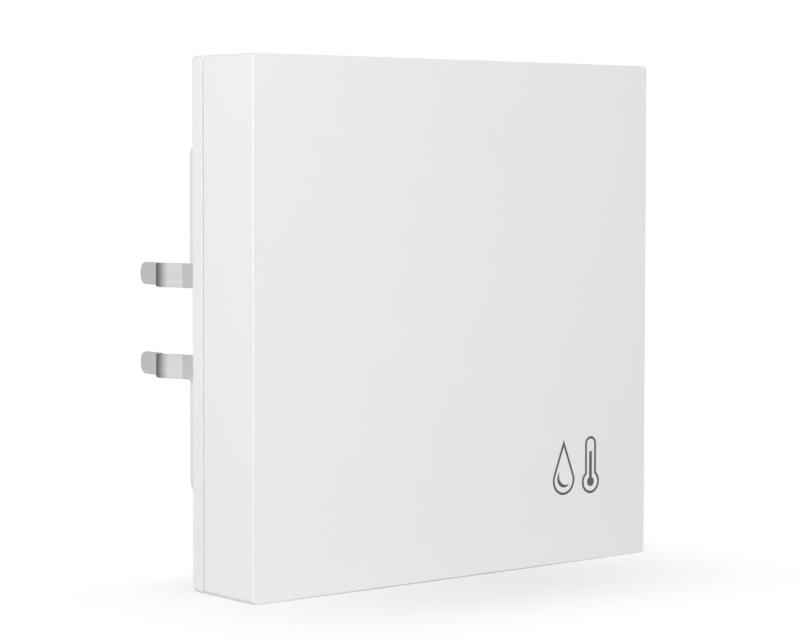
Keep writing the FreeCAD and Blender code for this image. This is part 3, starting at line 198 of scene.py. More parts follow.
def studio_board(name, corners, paint):
    """A flat board of the studio: paint draws its shader in an empty tree."""
    mesh = bpy.data.meshes.new(name)
    mesh.from_pydata(corners, [], [(0, 1, 2, 3)])
    material = bpy.data.materials.new(name)
    tree = new_tree(material)
    add_node(tree, "ShaderNodeOutputMaterial", {"Surface": paint(tree)})
    mesh.materials.append(material)
    board = linked(name, mesh)
    return board


def paint_paper(tree):
    """White share: 1 less the product of the fades away from the footprint, each a smooth step."""
    place = place_axes(tree)
    fades = [spread(tree, place[axis], start, end, 1.0, 0.0, interpolation_type="SMOOTHSTEP")
             for axis, start, end in SHADE_RAMPS]
    far = sum_up(tree, "SUBTRACT", 1.0, product(tree, *fades))
    by_camera = add_node(tree, "ShaderNodeLightPath").outputs["Is Camera Ray"]
    paper = add_node(tree, "ShaderNodeBsdfDiffuse", {"Color": grey(FLOOR_COLOUR)}).outputs[0]
    shown = blend(tree, product(tree, far, by_camera), paper, glow(tree, grey(1), 1.0))
    within = [sum_up(tree, test, place[axis], limit) for axis, low, high in UNDER_BOX
              for test, limit in (("GREATER_THAN", low), ("LESS_THAN", high))]
    under = product(tree, *within, sum_up(tree, "SUBTRACT", 1.0, by_camera))
    filled = blend(tree, under, shown, glow(tree, grey(1), UNDER_LEVEL))
    from_below = product(tree, by_camera, add_node(tree, "ShaderNodeNewGeometry").outputs["Backfacing"])
    return blend(tree, from_below, filled, add_node(tree, "ShaderNodeBsdfTransparent").outputs[0])


floor = studio_board("floor", [(x * FLOOR_HALF, y * FLOOR_HALF, FLOOR_LEVEL)
                               for x, y in ((-1, -1), (1, -1), (1, 1), (-1, 1))], paint_paper)
floor.visible_glossy = False
print("floor at", round(FLOOR_LEVEL / MM, 2), "mm")

# %% [markdown]
# One soft lamp hangs near the front left, so the left side is a touch brighter than
# the front and the front fades to the right and downwards. Polished steel also needs
# something dark to reflect, or it looks like grey paint: a black flag stands behind
# the device, where the clips' crests mirror it, and only mirror rays meet it.

# %% Lamp and flag
LAMP_PLACE = Vector((-0.455, -0.40, 0.31))
LAMP_SIZE, LAMP_WATTS = 0.45, 2.85
FLAG_BACK, FLAG_LEFT, FLAG_RIGHT, FLAG_LOW, FLAG_HIGH = 0.30, -0.85, 0.50, -0.35, 0.60
FLAG_SHADES = ((-0.31, 0.94), (-0.245, 0.85), (-0.172, 0.5), (0.10, 0.4))


def paint_flag(tree):
    """Shades at given places across the flag, with even steps between."""
    share = spread(tree, place_axes(tree)["X"], FLAG_LEFT, FLAG_RIGHT)
    ramp = add_node(tree, "ShaderNodeValToRGB", {0: share})
    elements = ramp.color_ramp.elements
    while len(elements) < len(FLAG_SHADES):
        elements.new(0.5)
    for element, (x, level) in zip(elements, FLAG_SHADES):
        element.position = (x - FLAG_LEFT) / (FLAG_RIGHT - FLAG_LEFT)
        element.color = grey(level)
    return glow(tree, ramp.outputs["Color"], 1.0)


lamp_data = bpy.data.lights.new("left_panel", "AREA")
lamp_data.shape = "SQUARE"
lamp_data.size, lamp_data.energy = LAMP_SIZE, LAMP_WATTS
lamp = linked("left_panel", lamp_data)
lamp.location = LAMP_PLACE
lamp.rotation_euler = (-LAMP_PLACE).to_track_quat("-Z", "Y").to_euler()
flag_corners = [(x, FLAG_BACK, z) for x, z in ((FLAG_LEFT, FLAG_LOW), (FLAG_RIGHT, FLAG_LOW),
                                               (FLAG_RIGHT, FLAG_HIGH), (FLAG_LEFT, FLAG_HIGH))]
flag = studio_board("dark_flag", flag_corners, paint_flag)
flag.visible_camera = flag.visible_diffuse = flag.visible_transmission = flag.visible_shadow = False
print("lamp of", LAMP_WATTS, "W and one flag")

# %% [markdown]
# Every finish needs texture: fine dents, a slow drift of colour, and patches that are
# a little duller than others. Each kind of texture is one node group. All of them put
# out the same three values from 0 to 1: Tone for the colour, Gloss for the roughness
# and Height for the dents. They read the place on the object, so a pattern keeps its
# real size.

# %% Texture group helpers
def texture_group(name, recipe, **values):
    """A group with a Place and named numbers as inputs, whose three outputs the recipe draws."""
    group = bpy.data.node_groups.new(name, "ShaderNodeTree")
    group.interface.new_socket("Place", in_out="INPUT", socket_type="NodeSocketVector")
    for socket, value in values.items():
        made = group.interface.new_socket(socket, in_out="INPUT", socket_type="NodeSocketFloat")
        made.default_value = value
    for socket in ("Tone", "Gloss", "Height"):
        group.interface.new_socket(socket, in_out="OUTPUT", socket_type="NodeSocketFloat")
    entry = group.nodes.new("NodeGroupInput").outputs
    tone, gloss, height = recipe(group, entry["Place"], entry)
    add_node(group, "NodeGroupOutput", {"Tone": tone, "Gloss": gloss, "Height": height})
    return group


def noise(tree, place, scale, detail=2.0, roughness=0.5, output="Fac"):
    """Soft noise from 0 to 1 at the given number of lumps per metre."""
    return add_node(tree, "ShaderNodeTexNoise", {"Vector": place, "Scale": scale, "Detail": detail,
                                                 "Roughness": roughness}).outputs[output]


def cells(tree, place, scale):
    """The distance from the middle of the nearest of many packed cells."""
    return add_node(tree, "ShaderNodeTexVoronoi", {"Vector": place, "Scale": scale}).outputs["Distance"]


def vector_step(tree, operation, inputs):
    """One arithmetic step on vectors."""
    return add_node(tree, "ShaderNodeVectorMath", inputs, operation=operation).outputs[0]


def stretched(tree, place, x, y, z):
    """The place with each axis scaled on its own, to draw a pattern out along one of them."""
    factors = add_node(tree, "ShaderNodeCombineXYZ", {"X": x, "Y": y, "Z": z}).outputs[0]
    return vector_step(tree, "MULTIPLY", {0: place, 1: factors})


# %% [markdown]
# Moulded plastic copies its spark-eroded mould: tiny round dents about 0.15 mm apart.
# Sheet steel has fine lines along its length from the rolling mill. They change only
# with height, so they follow a clip round its bends. A board's lacquer lies over woven
# glass, ferrite and ceramic are packed grains, and foam is open cells. Noise, waves
# and cells do all of it with no image, and never repeat.

# %% Texture groups
DRIFT_SCALE = 28.0


def moulded(group, place, entry):
    """Fine dents from noise at two sizes, with slow drift of colour and gloss."""
    fine = noise(group, place, entry["Dents"], 3.0, 0.6)
    coarse = noise(group, place, product(group, entry["Dents"], 0.3))
    tone, gloss = noise(group, place, DRIFT_SCALE, 3.0), noise(group, place, DRIFT_SCALE * 6, 4.0)
    return spread(group, tone, 0.3, 0.7), spread(group, gloss, 0.3, 0.7), weighted(group, 0.7, fine, coarse)


def rolled(group, place, entry):
    """Lines along a sheet: noise that changes fast across it and slowly along it."""
    along, across = entry["Along"], entry["Across"]
    lines = noise(group, stretched(group, place, along, along, across), 1.0, 3.0, 0.65)
    broad = noise(group, stretched(group, place, along, along, product(group, across, 0.12)), 1.0)
    gloss = weighted(group, 0.6, broad, noise(group, place, 260.0, 4.0, 0.6))
    return spread(group, broad, 0.3, 0.7), spread(group, gloss, 0.35, 0.65), lines


def woven(group, place, entry):
    """Two crossed waves as woven glass, under a drift of lacquer."""
    inputs = {"Vector": place, "Scale": entry["Threads"], "Distortion": 0.6}
    threads = [add_node(group, "ShaderNodeTexWave", inputs, bands_direction=direction).outputs["Fac"]
               for direction in ("X", "Z")]
    drift, specks = noise(group, place, 160.0, 3.0), noise(group, place, 1800.0)
    return spread(group, drift, 0.3, 0.7), spread(group, specks, 0.35, 0.65), product(group, *threads)


def sintered(group, place, entry):
    """Packed grains: small cells with pale rims, among darker clouds."""
    grains = cells(group, place, entry["Grains"])
    clouds = noise(group, place, product(group, entry["Grains"], 0.25), 4.0, 0.65)
    return spread(group, clouds, 0.35, 0.65), grains, grains


def foamed(group, place, entry):
    """Open cells, shaken by noise: round pits between thin struts, with the pits painted darker as shade."""
    pull = vector_step(group, "SCALE", {0: noise(group, place, entry["Cells"], output="Color"), 3: 0.0004})
    shaken = vector_step(group, "ADD", {0: place, 1: pull})
    struts = spread(group, cells(group, shaken, entry["Cells"]), 0.15, 0.75)
    # The struts give both height and tone, so the pits carry painted shade.
    return struts, noise(group, place, 700.0), struts


MOULDED = texture_group("moulded_grain", moulded, Dents=6500.0)
ROLLED = texture_group("rolled_grain", rolled, Across=9000.0, Along=90.0)
WOVEN = texture_group("board_weave", woven, Threads=950.0)
SINTERED = texture_group("sintered_grain", sintered, Grains=9000.0)
FOAMED = texture_group("foam_cells", foamed, Cells=1500.0)
print("texture groups:", len(bpy.data.node_groups))

# %% [markdown]
# A finish is one Principled shader. Its colour swings a few percent about the written
# one, its roughness likewise, and the height becomes a bump of a real depth. Each row
# gives colour, roughness, texture, depth of the dents in mm, swing of the colour and
# of the roughness, and any number that its texture takes.

# %% Finishes
PALE, GREEN, STEEL = (0.80, 0.80, 0.795), (0.012, 0.115, 0.055), (0.68, 0.68, 0.67)
MATT_ROWS = {
    "cover_plastic": (PALE, 0.55, MOULDED, 0.006, 0.006),
    "plate_plastic": (PALE, 0.55, MOULDED, 0.006, 0.006),
    "housing_plastic": ((0.78, 0.78, 0.77), 0.58, MOULDED, 0.008, 0.01),
    "symbol_ink": ((0.085, 0.087, 0.09), 0.5, MOULDED, 0.004, 0.08),
    "main_mask": (GREEN, 0.32, WOVEN, 0.004, 0.12, 0.08),
    "sensor_mask": (GREEN, 0.32, WOVEN, 0.004, 0.12, 0.08),
    "covered_copper": ((0.035, 0.22, 0.085), 0.28, WOVEN, 0.003, 0.1, 0.06),
    "print_ink": ((0.78, 0.78, 0.75), 0.6, MOULDED, 0.004, 0.05),
    "black_epoxy": ((0.026, 0.026, 0.028), 0.52, MOULDED, 0.006, 0.25, 0.1, {"Dents": 11000.0}),
    "laser_mark": ((0.36, 0.36, 0.35), 0.7, SINTERED, 0.003, 0.15),
    "ferrite": ((0.055, 0.055, 0.06), 0.5, SINTERED, 0.012, 0.35, 0.15),
    "winding_resin": ((0.03, 0.028, 0.026), 0.25, MOULDED, 0.01, 0.2),
    "tan_ceramic": ((0.44, 0.33, 0.21), 0.42, SINTERED, 0.006, 0.12, 0.1),
    "white_ceramic": ((0.74, 0.73, 0.70), 0.45, SINTERED, 0.005, 0.05),
    "resistor_film": ((0.03, 0.03, 0.034), 0.34, MOULDED, 0.004, 0.2),
    "black_moulding": ((0.035, 0.035, 0.037), 0.5, MOULDED, 0.007, 0.15, 0.08),
    "red_moulding": ((0.38, 0.025, 0.02), 0.42, MOULDED, 0.006, 0.06, 0.08),
    "lamp_body": ((0.72, 0.72, 0.69), 0.45, MOULDED, 0.004, 0.04),
    "soft_foam": ((0.06, 0.06, 0.064), 0.92, FOAMED, 0.12, 0.4, 0.05, {"Cells": 3600.0}),
    "filter_cloth": ((0.74, 0.74, 0.72), 0.8, SINTERED, 0.01, 0.06)}
METAL_ROWS = {
    "rivet_metal": ((0.74, 0.74, 0.73), 0.32, MOULDED, 0.004, 0.04, 0.07),
    "screw_steel": ((0.62, 0.63, 0.64), 0.30, MOULDED, 0.003, 0.06, 0.08),
    "spring_steel": (STEEL, 0.27, ROLLED, 0.002, 0.04),
    "clip_steel": (STEEL, 0.27, ROLLED, 0.002, 0.04),
    "solder": ((0.66, 0.655, 0.64), 0.26, SINTERED, 0.006, 0.08, 0.1, {"Grains": 2500.0}),
    "tinned": ((0.62, 0.615, 0.60), 0.3, ROLLED, 0.002, 0.06, 0.08),
    "gold_flash": ((0.83, 0.62, 0.27), 0.24, ROLLED, 0.0015, 0.05, 0.06),
    "drawn_aluminium": ((0.66, 0.665, 0.675), 0.28, ROLLED, 0.002, 0.03, 0.06,
                        {"Across": 1200.0, "Along": 1200.0}),
    "plated_lid": ((0.64, 0.635, 0.61), 0.22, ROLLED, 0.0015, 0.04, 0.06, {"Across": 3500.0})}


def make_finish(name, colour, roughness, group, depth, tone, swing=0.05, values=None, **sockets):
    """A material whose group varies the colour by tone, the roughness by swing, and dents it by depth mm."""
    material = bpy.data.materials.new(name)
    tree = new_tree(material)
    place = add_node(tree, "ShaderNodeTexCoord").outputs["Object"]
    texture = add_node(tree, "ShaderNodeGroup", node_tree=group)
    tree.links.new(place, texture.inputs["Place"])
    for socket, value in (values or {}).items():
        texture.inputs[socket].default_value = value
    dark, light = [tuple(min(part * (1 + way * tone), 1.0) for part in colour) + (1.0,) for way in (-1, 1)]
    shade = mix_colours(tree, texture.outputs["Tone"], dark, light)
    rough = spread(tree, texture.outputs["Gloss"], 0.0, 1.0, roughness + swing, roughness - swing)
    bump = add_node(tree, "ShaderNodeBump",
                    {"Strength": 1.0, "Distance": depth * MM, "Height": texture.outputs["Height"]})
    shader = add_node(tree, "ShaderNodeBsdfPrincipled",
                      {"Base Color": shade, "Roughness": rough, "Normal": bump.outputs[0], **sockets})
    add_node(tree, "ShaderNodeOutputMaterial", {"Surface": shader.outputs[0]})
    return material


FINISHES = {name: make_finish(name, *row) for name, row in MATT_ROWS.items()}
FINISHES.update({name: make_finish(name, *row, Metallic=1.0) for name, row in METAL_ROWS.items()})
FINISHES["lamp_lens"] = make_finish("lamp_lens", (0.72, 0.10, 0.07), 0.12, MOULDED, 0.002, 0.08, 0.04,
                                    **{"Transmission Weight": 0.35})
print("finishes:", len(FINISHES))

# %% [markdown]
# The crest of a clip is painted darker than the bright sheet beside it: painted shade
# that stands in for the dark reflection along its bend. A number on every point of the
# strip, 0 on bright sheet and 1 on the crest, drives that. A board's cut edge shows tan
# laminate between its two green faces.

# %% Painted crest shade and cut edges
# Painted shade: how dark a clip's crest is drawn, in place of its dark reflection.
CREST_SHADE_SHARE = 0.36
LAMINATE = (0.42, 0.33, 0.16, 1.0)
FRONT, BACK, SENSOR_FRONT, SENSOR_BACK = 0.6, 2.2, -9.9, -8.9
LACQUER = 0.03


def recolour(name, change):
    """Between a finish's colour and its shader, pass the colour through change."""
    tree = FINISHES[name].node_tree
    socket = next(node for node in tree.nodes if node.type == "BSDF_PRINCIPLED").inputs["Base Color"]
    tree.links.new(change(tree, socket.links[0].from_socket), socket)


def paint_crest_shade(tree, shade):
    """Painted shade on a clip's crest: darken the colour where the point's painted crest shade is high."""
    painted_crest_shade = add_node(tree, "ShaderNodeAttribute", attribute_name="painted_crest_shade").outputs["Fac"]
    return vector_step(tree, "SCALE", {0: shade, 3: spread(tree, painted_crest_shade, 0.0, 1.0, 1.0, CREST_SHADE_SHARE)})


def cut_edge(front, back):
    """Show the laminate where the place's Y lies inside both faces."""
    def change(tree, shade):
        depth = place_axes(tree)["Y"]
        inside = product(tree, sum_up(tree, "GREATER_THAN", depth, (front + LACQUER) * MM),
                         sum_up(tree, "LESS_THAN", depth, (back - LACQUER) * MM))
        return mix_colours(tree, inside, shade, LAMINATE)
    return change


# The clips' crests get their painted shade.
recolour("clip_steel", paint_crest_shade)
recolour("main_mask", cut_edge(FRONT, BACK))
recolour("sensor_mask", cut_edge(SENSOR_FRONT, SENSOR_BACK))
print("laminate between", FRONT, "and", BACK, "mm")

# %% [markdown]
# Every new surface is a grid of points with faces between neighbours. loft closes a
# stack of rings, turned spins a profile about an axis as a lathe does, and slab draws
# a rounded outline in or out with depth, as a moulded part with draft and eased edges.
# They return points and faces and no mesh, so that many can be gathered into one piece.

# %% Surface helpers
def quarter(count):
    """Angles over a quarter turn."""
    return np.linspace(0, np.pi / 2, count)


def full_turn(count):
    """Evenly spaced angles all round."""
    return np.linspace(0, 2 * np.pi, count, endpoint=False)


def unit(turn):
    """Places one from the middle: the turn's cosine and sine."""
    return np.stack([np.cos(turn), np.sin(turn)], axis=-1)


def sideways(headings):
    """The way across a path, a quarter turn from each heading."""
    return np.stack([-np.sin(headings), np.cos(headings)], axis=-1)


def loft(rings):
    """Faces between closed rings of equally many points, with a flat cap at each end."""
    index = np.arange(rings.shape[0] * rings.shape[1]).reshape(rings.shape[:2])
    following = np.roll(index, -1, axis=1)
    quads = np.stack([index[:-1], following[:-1], following[1:], index[1:]], axis=-1).reshape(-1, 4)
    return rings.reshape(-1, 3), [quads, index[:1, ::-1], index[-1:]]


def wrapped(rings):
    """Faces between closed rings, with the last ring joined to the first, as round a frame."""
    index = np.arange(rings.shape[0] * rings.shape[1]).reshape(rings.shape[:2])
    below, beside = np.roll(index, -1, axis=0), np.roll(index, -1, axis=1)
    quads = np.stack([index, beside, np.roll(below, -1, axis=1), below], axis=-1).reshape(-1, 4)
    return rings.reshape(-1, 3), [quads]


def stacked(rows, middle=(0, 0), close=loft):
    """A surface that faces -Y: each row is an outline about the middle and its depth Y."""
    rings = [np.insert(outline, 1, depth, axis=1) for outline, depth in rows]
    return close(np.stack(rings) + (middle[0], 0, middle[1]))


def gather(surfaces):
    """Several surfaces as one, each one's face numbers moved past the points before it."""
    starts = np.cumsum([0] + [len(points) for points, _ in surfaces])
    faces = [block + start for (_, blocks), start in zip(surfaces, starts) for block in blocks]
    return np.concatenate([points for points, _ in surfaces]), faces


def turned(centre, axis, profile, sides=40):
    """A lathe shape: each profile row is a radius and a distance along the axis, spun to a ring."""
    radius, along = np.asarray(profile, float).T
    first = np.cross(axis, (0, 0, 1))
    turn = full_turn(sides)[:, None]
    circle = np.cos(turn) * first + np.sin(turn) * np.cross(axis, first)
    middle = np.asarray(centre, float) + along[:, None] * np.asarray(axis, float)
    return loft(middle[:, None] + radius[:, None, None] * circle)


def spun(middle, base, profile, sides=40, way=-1):
    """A lathe shape that stands on the level base and points along Y."""
    return turned((middle[0], base, middle[1]), (0, way, 0), profile, sides)


def polar_loft(middle, radius, depth, turn):
    """A lathe shape whose radius and depth may change with the turn: X by its cosine and Z by its sine."""
    rings = np.stack([radius * np.cos(turn), depth, radius * np.sin(turn)], axis=-1)
    return loft(rings + (middle[0], 0, middle[1]))


def corner_turns(steps):
    """For the points of four round corners: the corner's two signs, and each turn's cosine and sine."""
    turn = (quarter(steps) + np.arange(4)[:, None] * np.pi / 2).ravel()
    return np.repeat([1, -1, -1, 1], steps), np.repeat([1, 1, -1, -1], steps), np.cos(turn), np.sin(turn)


def rounded_outline(half_width, half_height, corner, steps=5):
    """A rectangle's outline: four corner centres, each with a quarter circle round it."""
    sign_x, sign_z, cosine, sine = corner_turns(steps)
    return np.stack([sign_x * (half_width - corner) + corner * cosine,
                     sign_z * (half_height - corner) + corner * sine], axis=-1)


def drawn_in(half_width, half_height, corner, profile, steps=5, least=0.01):
    """Rows for a stack: a rounded outline, drawn in by each profile row's inset, at its depth Y."""
    return [(rounded_outline(half_width - inset, half_height - inset, max(corner - inset, least), steps),
             depth) for inset, depth in profile]


def slab(middle, half_width, half_height, corner, profile, steps=5):
    """A block facing -Y: each profile row is an inset of the rounded outline and its depth Y."""
    return stacked(drawn_in(half_width, half_height, corner, profile, steps), middle)


def eased(back, front, edge, draft=0.0, steps=4):
    """Profile rows from back to front, drawn in by the draft and ending in a quarter round."""
    way = math.copysign(1, front - back)
    inset = draft + edge * (1 - np.cos(quarter(steps)))
    depth = front - way * edge * (1 - np.sin(quarter(steps)))
    return [(0.0, back)] + list(zip(inset, depth))


# %% [markdown]
# A mesh is made in one place. Points that meet are welded, so poles and seams close,
# new faces are turned outwards, and shading is smooth except over sharp edges. A new
# piece then rides on its body, and stands for the solid it refines if there is one.
# Covers, plate and boards have their true shape already, as loose flat triangles. A
# smooth copy stands in for each: welded, its flat triangles joined and its long sharp
# edges broken by a tenth of a millimetre, as a mould or a file leaves them.

# %% Mesh helpers
WELD = 0.0004 * MM
SHARP_ANGLE, FLAT_ANGLE, BROKEN_ANGLE = math.radians(34), math.radians(0.6), math.radians(50)
LONG_EDGE = 3.0


def rework(mesh, change):
    """Weld the mesh and pass it through change."""
    work = bmesh.new()
    work.from_mesh(mesh)
    bmesh.ops.remove_doubles(work, verts=work.verts, dist=WELD)
    change(work)
    work.to_mesh(mesh)
    work.free()


def settle(name, mesh, finish, node):
    """Give a mesh its shading, object, finish and body, and hide the solid it stands for."""
    mesh.shade_smooth()
    mesh.set_sharp_from_angle(angle=SHARP_ANGLE)
    mesh.materials.clear()
    mesh.materials.append(FINISHES[finish])
    piece = linked(name, mesh)
    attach(piece, BODY_OF.get(node, "base"))
    if node:
        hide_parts(node)
    piece.modifiers.new("even_shading", "WEIGHTED_NORMAL").keep_sharp = True
    print(name, len(mesh.polygons), "faces")


def make_piece(name, surfaces, finish, node=None, painted_crest_shade=None):
    """A new piece from surfaces in millimetres, with each point's share of painted crest shade, if given."""
    points, faces = gather(surfaces)
    mesh = bpy.data.meshes.new(name)
    mesh.from_pydata((points * MM).tolist(), [], [face for block in faces for face in block.tolist()])
    # Each point's painted crest shade rides on the mesh as an attribute.
    if painted_crest_shade is not None:
        mesh.attributes.new("painted_crest_shade", "FLOAT", "POINT").data.foreach_set("value", painted_crest_shade.astype(np.float32))
    rework(mesh, lambda work: bmesh.ops.recalc_face_normals(work, faces=work.faces))
    settle(name, mesh, finish, node)


def dress(node, part, finish, *surfaces, painted_crest_shade=None):
    """A piece that stands for a solid and is called after it."""
    make_piece(node + "_" + part, surfaces, finish, node, painted_crest_shade=painted_crest_shade)


def smooth_copy(node, finish, edge=0.0):
    """A copy of a solid with its flat faces joined and its long sharp edges broken by edge mm."""
    def change(work):
        bmesh.ops.dissolve_limit(work, angle_limit=FLAT_ANGLE, verts=work.verts, edges=work.edges)
        sharp = [line for line in work.edges if edge and len(line.link_faces) == 2
                 and line.calc_face_angle(0.0) > BROKEN_ANGLE and line.calc_length() > LONG_EDGE * MM]
        if sharp:
            bmesh.ops.bevel(work, geom=sharp, offset=edge * MM, offset_type="OFFSET", segments=2, profile=0.5,
                            affect="EDGES", clamp_overlap=True)
    mesh = frame["nodes"][node].data.copy()
    rework(mesh, change)
    settle(node + "_skin", mesh, finish, node)


# %% [markdown]
# The cover, the plate and the housing are white mouldings. The cover's front edge has
# a tiny round and its rear edge is nearly sharp, which is what makes the seam so crisp.
# The two symbols are a second shot of dark plastic, flush with the cover's face. Their
# solids are exact already, so they stay and only get the dark finish.

# %% White mouldings and symbols
smooth_copy("front_cover", "cover_plastic", edge=0.06)
smooth_copy("base_plate", "plate_plastic", edge=0.06)
smooth_copy("rear_housing", "housing_plastic", edge=0.12)
for node in ("drop_symbol", "thermometer_symbol"):
    symbol_mesh = frame["nodes"][node].data
    symbol_mesh.materials.clear()
    symbol_mesh.materials.append(FINISHES["symbol_ink"])

# %% [markdown]
# A spring clip is a strip of steel bent in a press: out from the housing, over a
# crest, and back into a straight tongue with rounded corners. It is modelled the same
# way. The path is straight runs joined by arcs, and a rounded section is carried
# along it, square to the path, while its width follows the shoulder and the tongue.

# %% Bent strips
CLIP_RUNS = [(0.0, 0.15), (1.45, 3.15), (-0.26, 0.1), (0.0, 5.6)]
CLIP_BENDS = [1.0, 2.3, 0.5]
CLIP_FACE, CLIP_THICK, CLIP_MID, CLIP_ROOT = 38.7, 0.5, 7.5, 8.5
CLIP_HALF, TONGUE_HALF, TONGUE_ROUND = 2.0, 1.85, 1.5
SHOULDER_BACK, SHOULDER_RUN = 13.5, 0.8
CREST_BEFORE, CREST_FADE, CREST_SPAN = 1.85, 1.6, 1.5


def bent_path(start, runs, radii, arc_steps=10, run_steps=6):
    """Points and headings along straight runs, joined by arcs that start where the run before ends."""
    point = np.array(start, float)
    angles = [math.atan2(along, across) for across, along in runs]
    points, headings = [point[None]], [np.array(angles[:1])]
    for number, (run, angle) in enumerate(zip(runs, angles)):
        if number:
            turn = angle - angles[number - 1]
            heading = angles[number - 1] + turn * np.linspace(0, 1, arc_steps + 1)
            aside = sideways(heading)
            points.append(point + math.copysign(radii[number - 1], turn) * (aside[0] - aside[1:]))
            headings.append(heading[1:])
            point = points[-1][-1]
        points.append(point + np.linspace(0, 1, run_steps + 1)[1:, None] * run)
        headings.append(np.full(run_steps, angle))
        point = point + run
    return np.concatenate(points), np.concatenate(headings)


def with_supports(wide, thick, support):
    """Two more points on each flat face, just inside its rounded edges, so that its shading stays flat."""
    rows, levels = [], []
    for last in (5, 11):
        start, end = wide[:, last], wide[:, (last + 1) % 12]
        step = np.sign(end - start) * np.minimum(support, np.abs(end - start) / 3)
        rows += [wide[:, last - 5:last + 1], (start + step)[:, None], (end - step)[:, None]]
        levels += [thick[last - 5:last + 1], thick[[last, last]]]
    return np.concatenate(rows, axis=1), np.concatenate(levels)


def strip(points, headings, half_thick, half_width, edge):
    """A flat strip along a path: at each point a rounded rectangle, thick across it and wide along Z."""
    sign_thick, sign_wide, cosine, sine = corner_turns(3)
    thick = sign_thick * (half_thick - edge) + edge * cosine
    wide = sign_wide * (half_width[:, None] - edge) + edge * sine
    wide, thick = with_supports(wide, thick, edge * 1.5)
    plan = points[:, None] + thick[:, None] * sideways(headings)[:, None]
    return loft(np.concatenate([plan, wide[..., None]], axis=-1))


def clip_surface(side, level):
    """A clip's strip: full width at the root, narrower past the shoulder, its tongue's corners rounded."""
    points, headings = bent_path((0.0, CLIP_ROOT), CLIP_RUNS, CLIP_BENDS, arc_steps=14, run_steps=10)
    end = points[-1, 1]
    tail = points[:, 1] < end - TONGUE_ROUND
    sweep = quarter(16)[:-1]
    tongue = np.stack([0 * sweep + points[-1, 0], end - TONGUE_ROUND * (1 - np.sin(sweep))], axis=-1)
    points = np.concatenate([points[tail], tongue])
    headings = np.concatenate([headings[tail], 0 * sweep + headings[-1]])
    shoulder = np.clip((points[:, 1] - SHOULDER_BACK) / SHOULDER_RUN, 0, 1)
    into_round = np.clip(points[:, 1] - (end - TONGUE_ROUND), 0, TONGUE_ROUND)
    half_width = CLIP_HALF + (TONGUE_HALF - CLIP_HALF) * shoulder
    half_width -= TONGUE_ROUND - np.sqrt(TONGUE_ROUND ** 2 - into_round ** 2)
    solid, faces = strip(points, headings, CLIP_THICK / 2, half_width, 0.08)
    travel = np.concatenate([[0], np.cumsum(np.hypot(*np.diff(points, axis=0).T))])
    # Painted shade along the crest: it rises before the crest, holds over it and fades past it.
    past_start = travel - travel[np.argmax(points[:, 0])] + CREST_BEFORE
    painted_crest_shade = np.clip(past_start / CREST_FADE, 0, 1)
    painted_crest_shade *= 1 - np.clip((past_start - CREST_FADE - CREST_SPAN) / CREST_FADE, 0, 1)
    place = (side * (CLIP_FACE - CLIP_THICK / 2), 0, CLIP_MID * level)
    return (solid * (side, 1, 1) + place, faces), np.repeat(painted_crest_shade, len(solid) // len(points))


# %% [markdown]
# A rivet's head is pressed to a low dome by the setting tool, with a flat rim where
# the tool stops. Its foot on the inside is flared. One lathe profile has both.

# %% Spring clips and rivets
RIVET_RISE, RIVET_BACK, RIVET_INSIDE = 9.2, 3.1, 36.7
RIVET_HEAD, RIVET_TALL, RIVET_RIM, RIVET_RADIUS = 1.5, 0.5, 0.16, 0.8


def rivet_surface(side, level):
    """Foot, shank and domed head: the dome's height falls with the square of the radius."""
    start = CLIP_FACE - RIVET_INSIDE
    radius = np.linspace(RIVET_HEAD - 0.12, 0, 9)
    dome = start + RIVET_RIM + (RIVET_TALL - RIVET_RIM) * (1 - (radius / RIVET_HEAD) ** 2)
    foot = [(0.0, -0.4), (0.45, -0.4), (0.62, -0.24), (1.12, -0.30), (1.2, -0.18), (1.2, 0.0),
            (RIVET_RADIUS, 0.0)]
    head = [(RIVET_RADIUS, start), (RIVET_HEAD - 0.03, start), (RIVET_HEAD, start + 0.04),
            (RIVET_HEAD, start + 0.12), (RIVET_HEAD - 0.04, start + RIVET_RIM)]
    return turned((side * RIVET_INSIDE, RIVET_BACK, RIVET_RISE * level), (side, 0, 0),
                  foot + head + list(zip(radius, dome)))


SIDE_NAMES, LEVEL_NAMES = ((LEFT, "left"), (RIGHT, "right")), ((DOWN, "lower"), (UP, "upper"))
for side, side_name in SIDE_NAMES:
    for level, level_name in LEVEL_NAMES:
        # Each strip carries its painted crest shade.
        surface, painted_crest_shade = clip_surface(side, level)
        dress("clip_" + level_name + "_" + side_name, "strip", "clip_steel", surface, painted_crest_shade=painted_crest_shade)
    smooth_copy("clip_plate_" + side_name, "spring_steel", edge=0.07)
for side, side_name in SIDE_NAMES:
    make_piece("clip_rivet_heads_" + side_name, [rivet_surface(side, level) for level in (DOWN, UP)],
               "rivet_metal", "clip_rivets_" + side_name)

# %% [markdown]
# The two boards are smooth copies of their solids. Tracks are copper under the lacquer
# and stand up from it by the foil's 0.035 mm, so they are real strips: flat ribbons
# along straight runs that turn by 45 degrees, as board layout does it. Pads are bare
# and tinned, and outlines round the parts are printed ink.

# %% Flat strips and solder
FOIL, INK_DEPTH, SUNK, PAD_DEPTH, LINE = 0.035, 0.045, 0.01, 0.05, 0.16


def ribbon(path, width=LINE, base=FRONT, height=INK_DEPTH):
    """A flat strip with mitred corners: a point moves aside by half the width over the half-turn's cosine."""
    path = np.asarray(path, float)
    ways = np.diff(path, axis=0)
    ways /= np.linalg.norm(ways, axis=1)[:, None]
    before, after = np.concatenate([ways[:1], ways]), np.concatenate([ways, ways[-1:]])
    sides = np.stack([-(before + after)[:, 1], (before + after)[:, 0]], axis=-1)
    sides /= np.linalg.norm(sides, axis=1)[:, None]
    stretch = 1 / np.maximum(sides[:, 0] * -before[:, 1] + sides[:, 1] * before[:, 0], 0.3)
    offset = sides * (stretch * width / 2)[:, None]
    top = base - height
    return loft(np.stack([np.insert(path + sign * offset, 1, depth, axis=1)
                          for sign, depth in ((1, base), (1, top), (-1, top), (-1, base))], axis=1))


def copper(path, width=0.28):
    """A copper strip, its underside a little below the lacquer."""
    return ribbon(path, width, FRONT + SUNK, FOIL + SUNK)


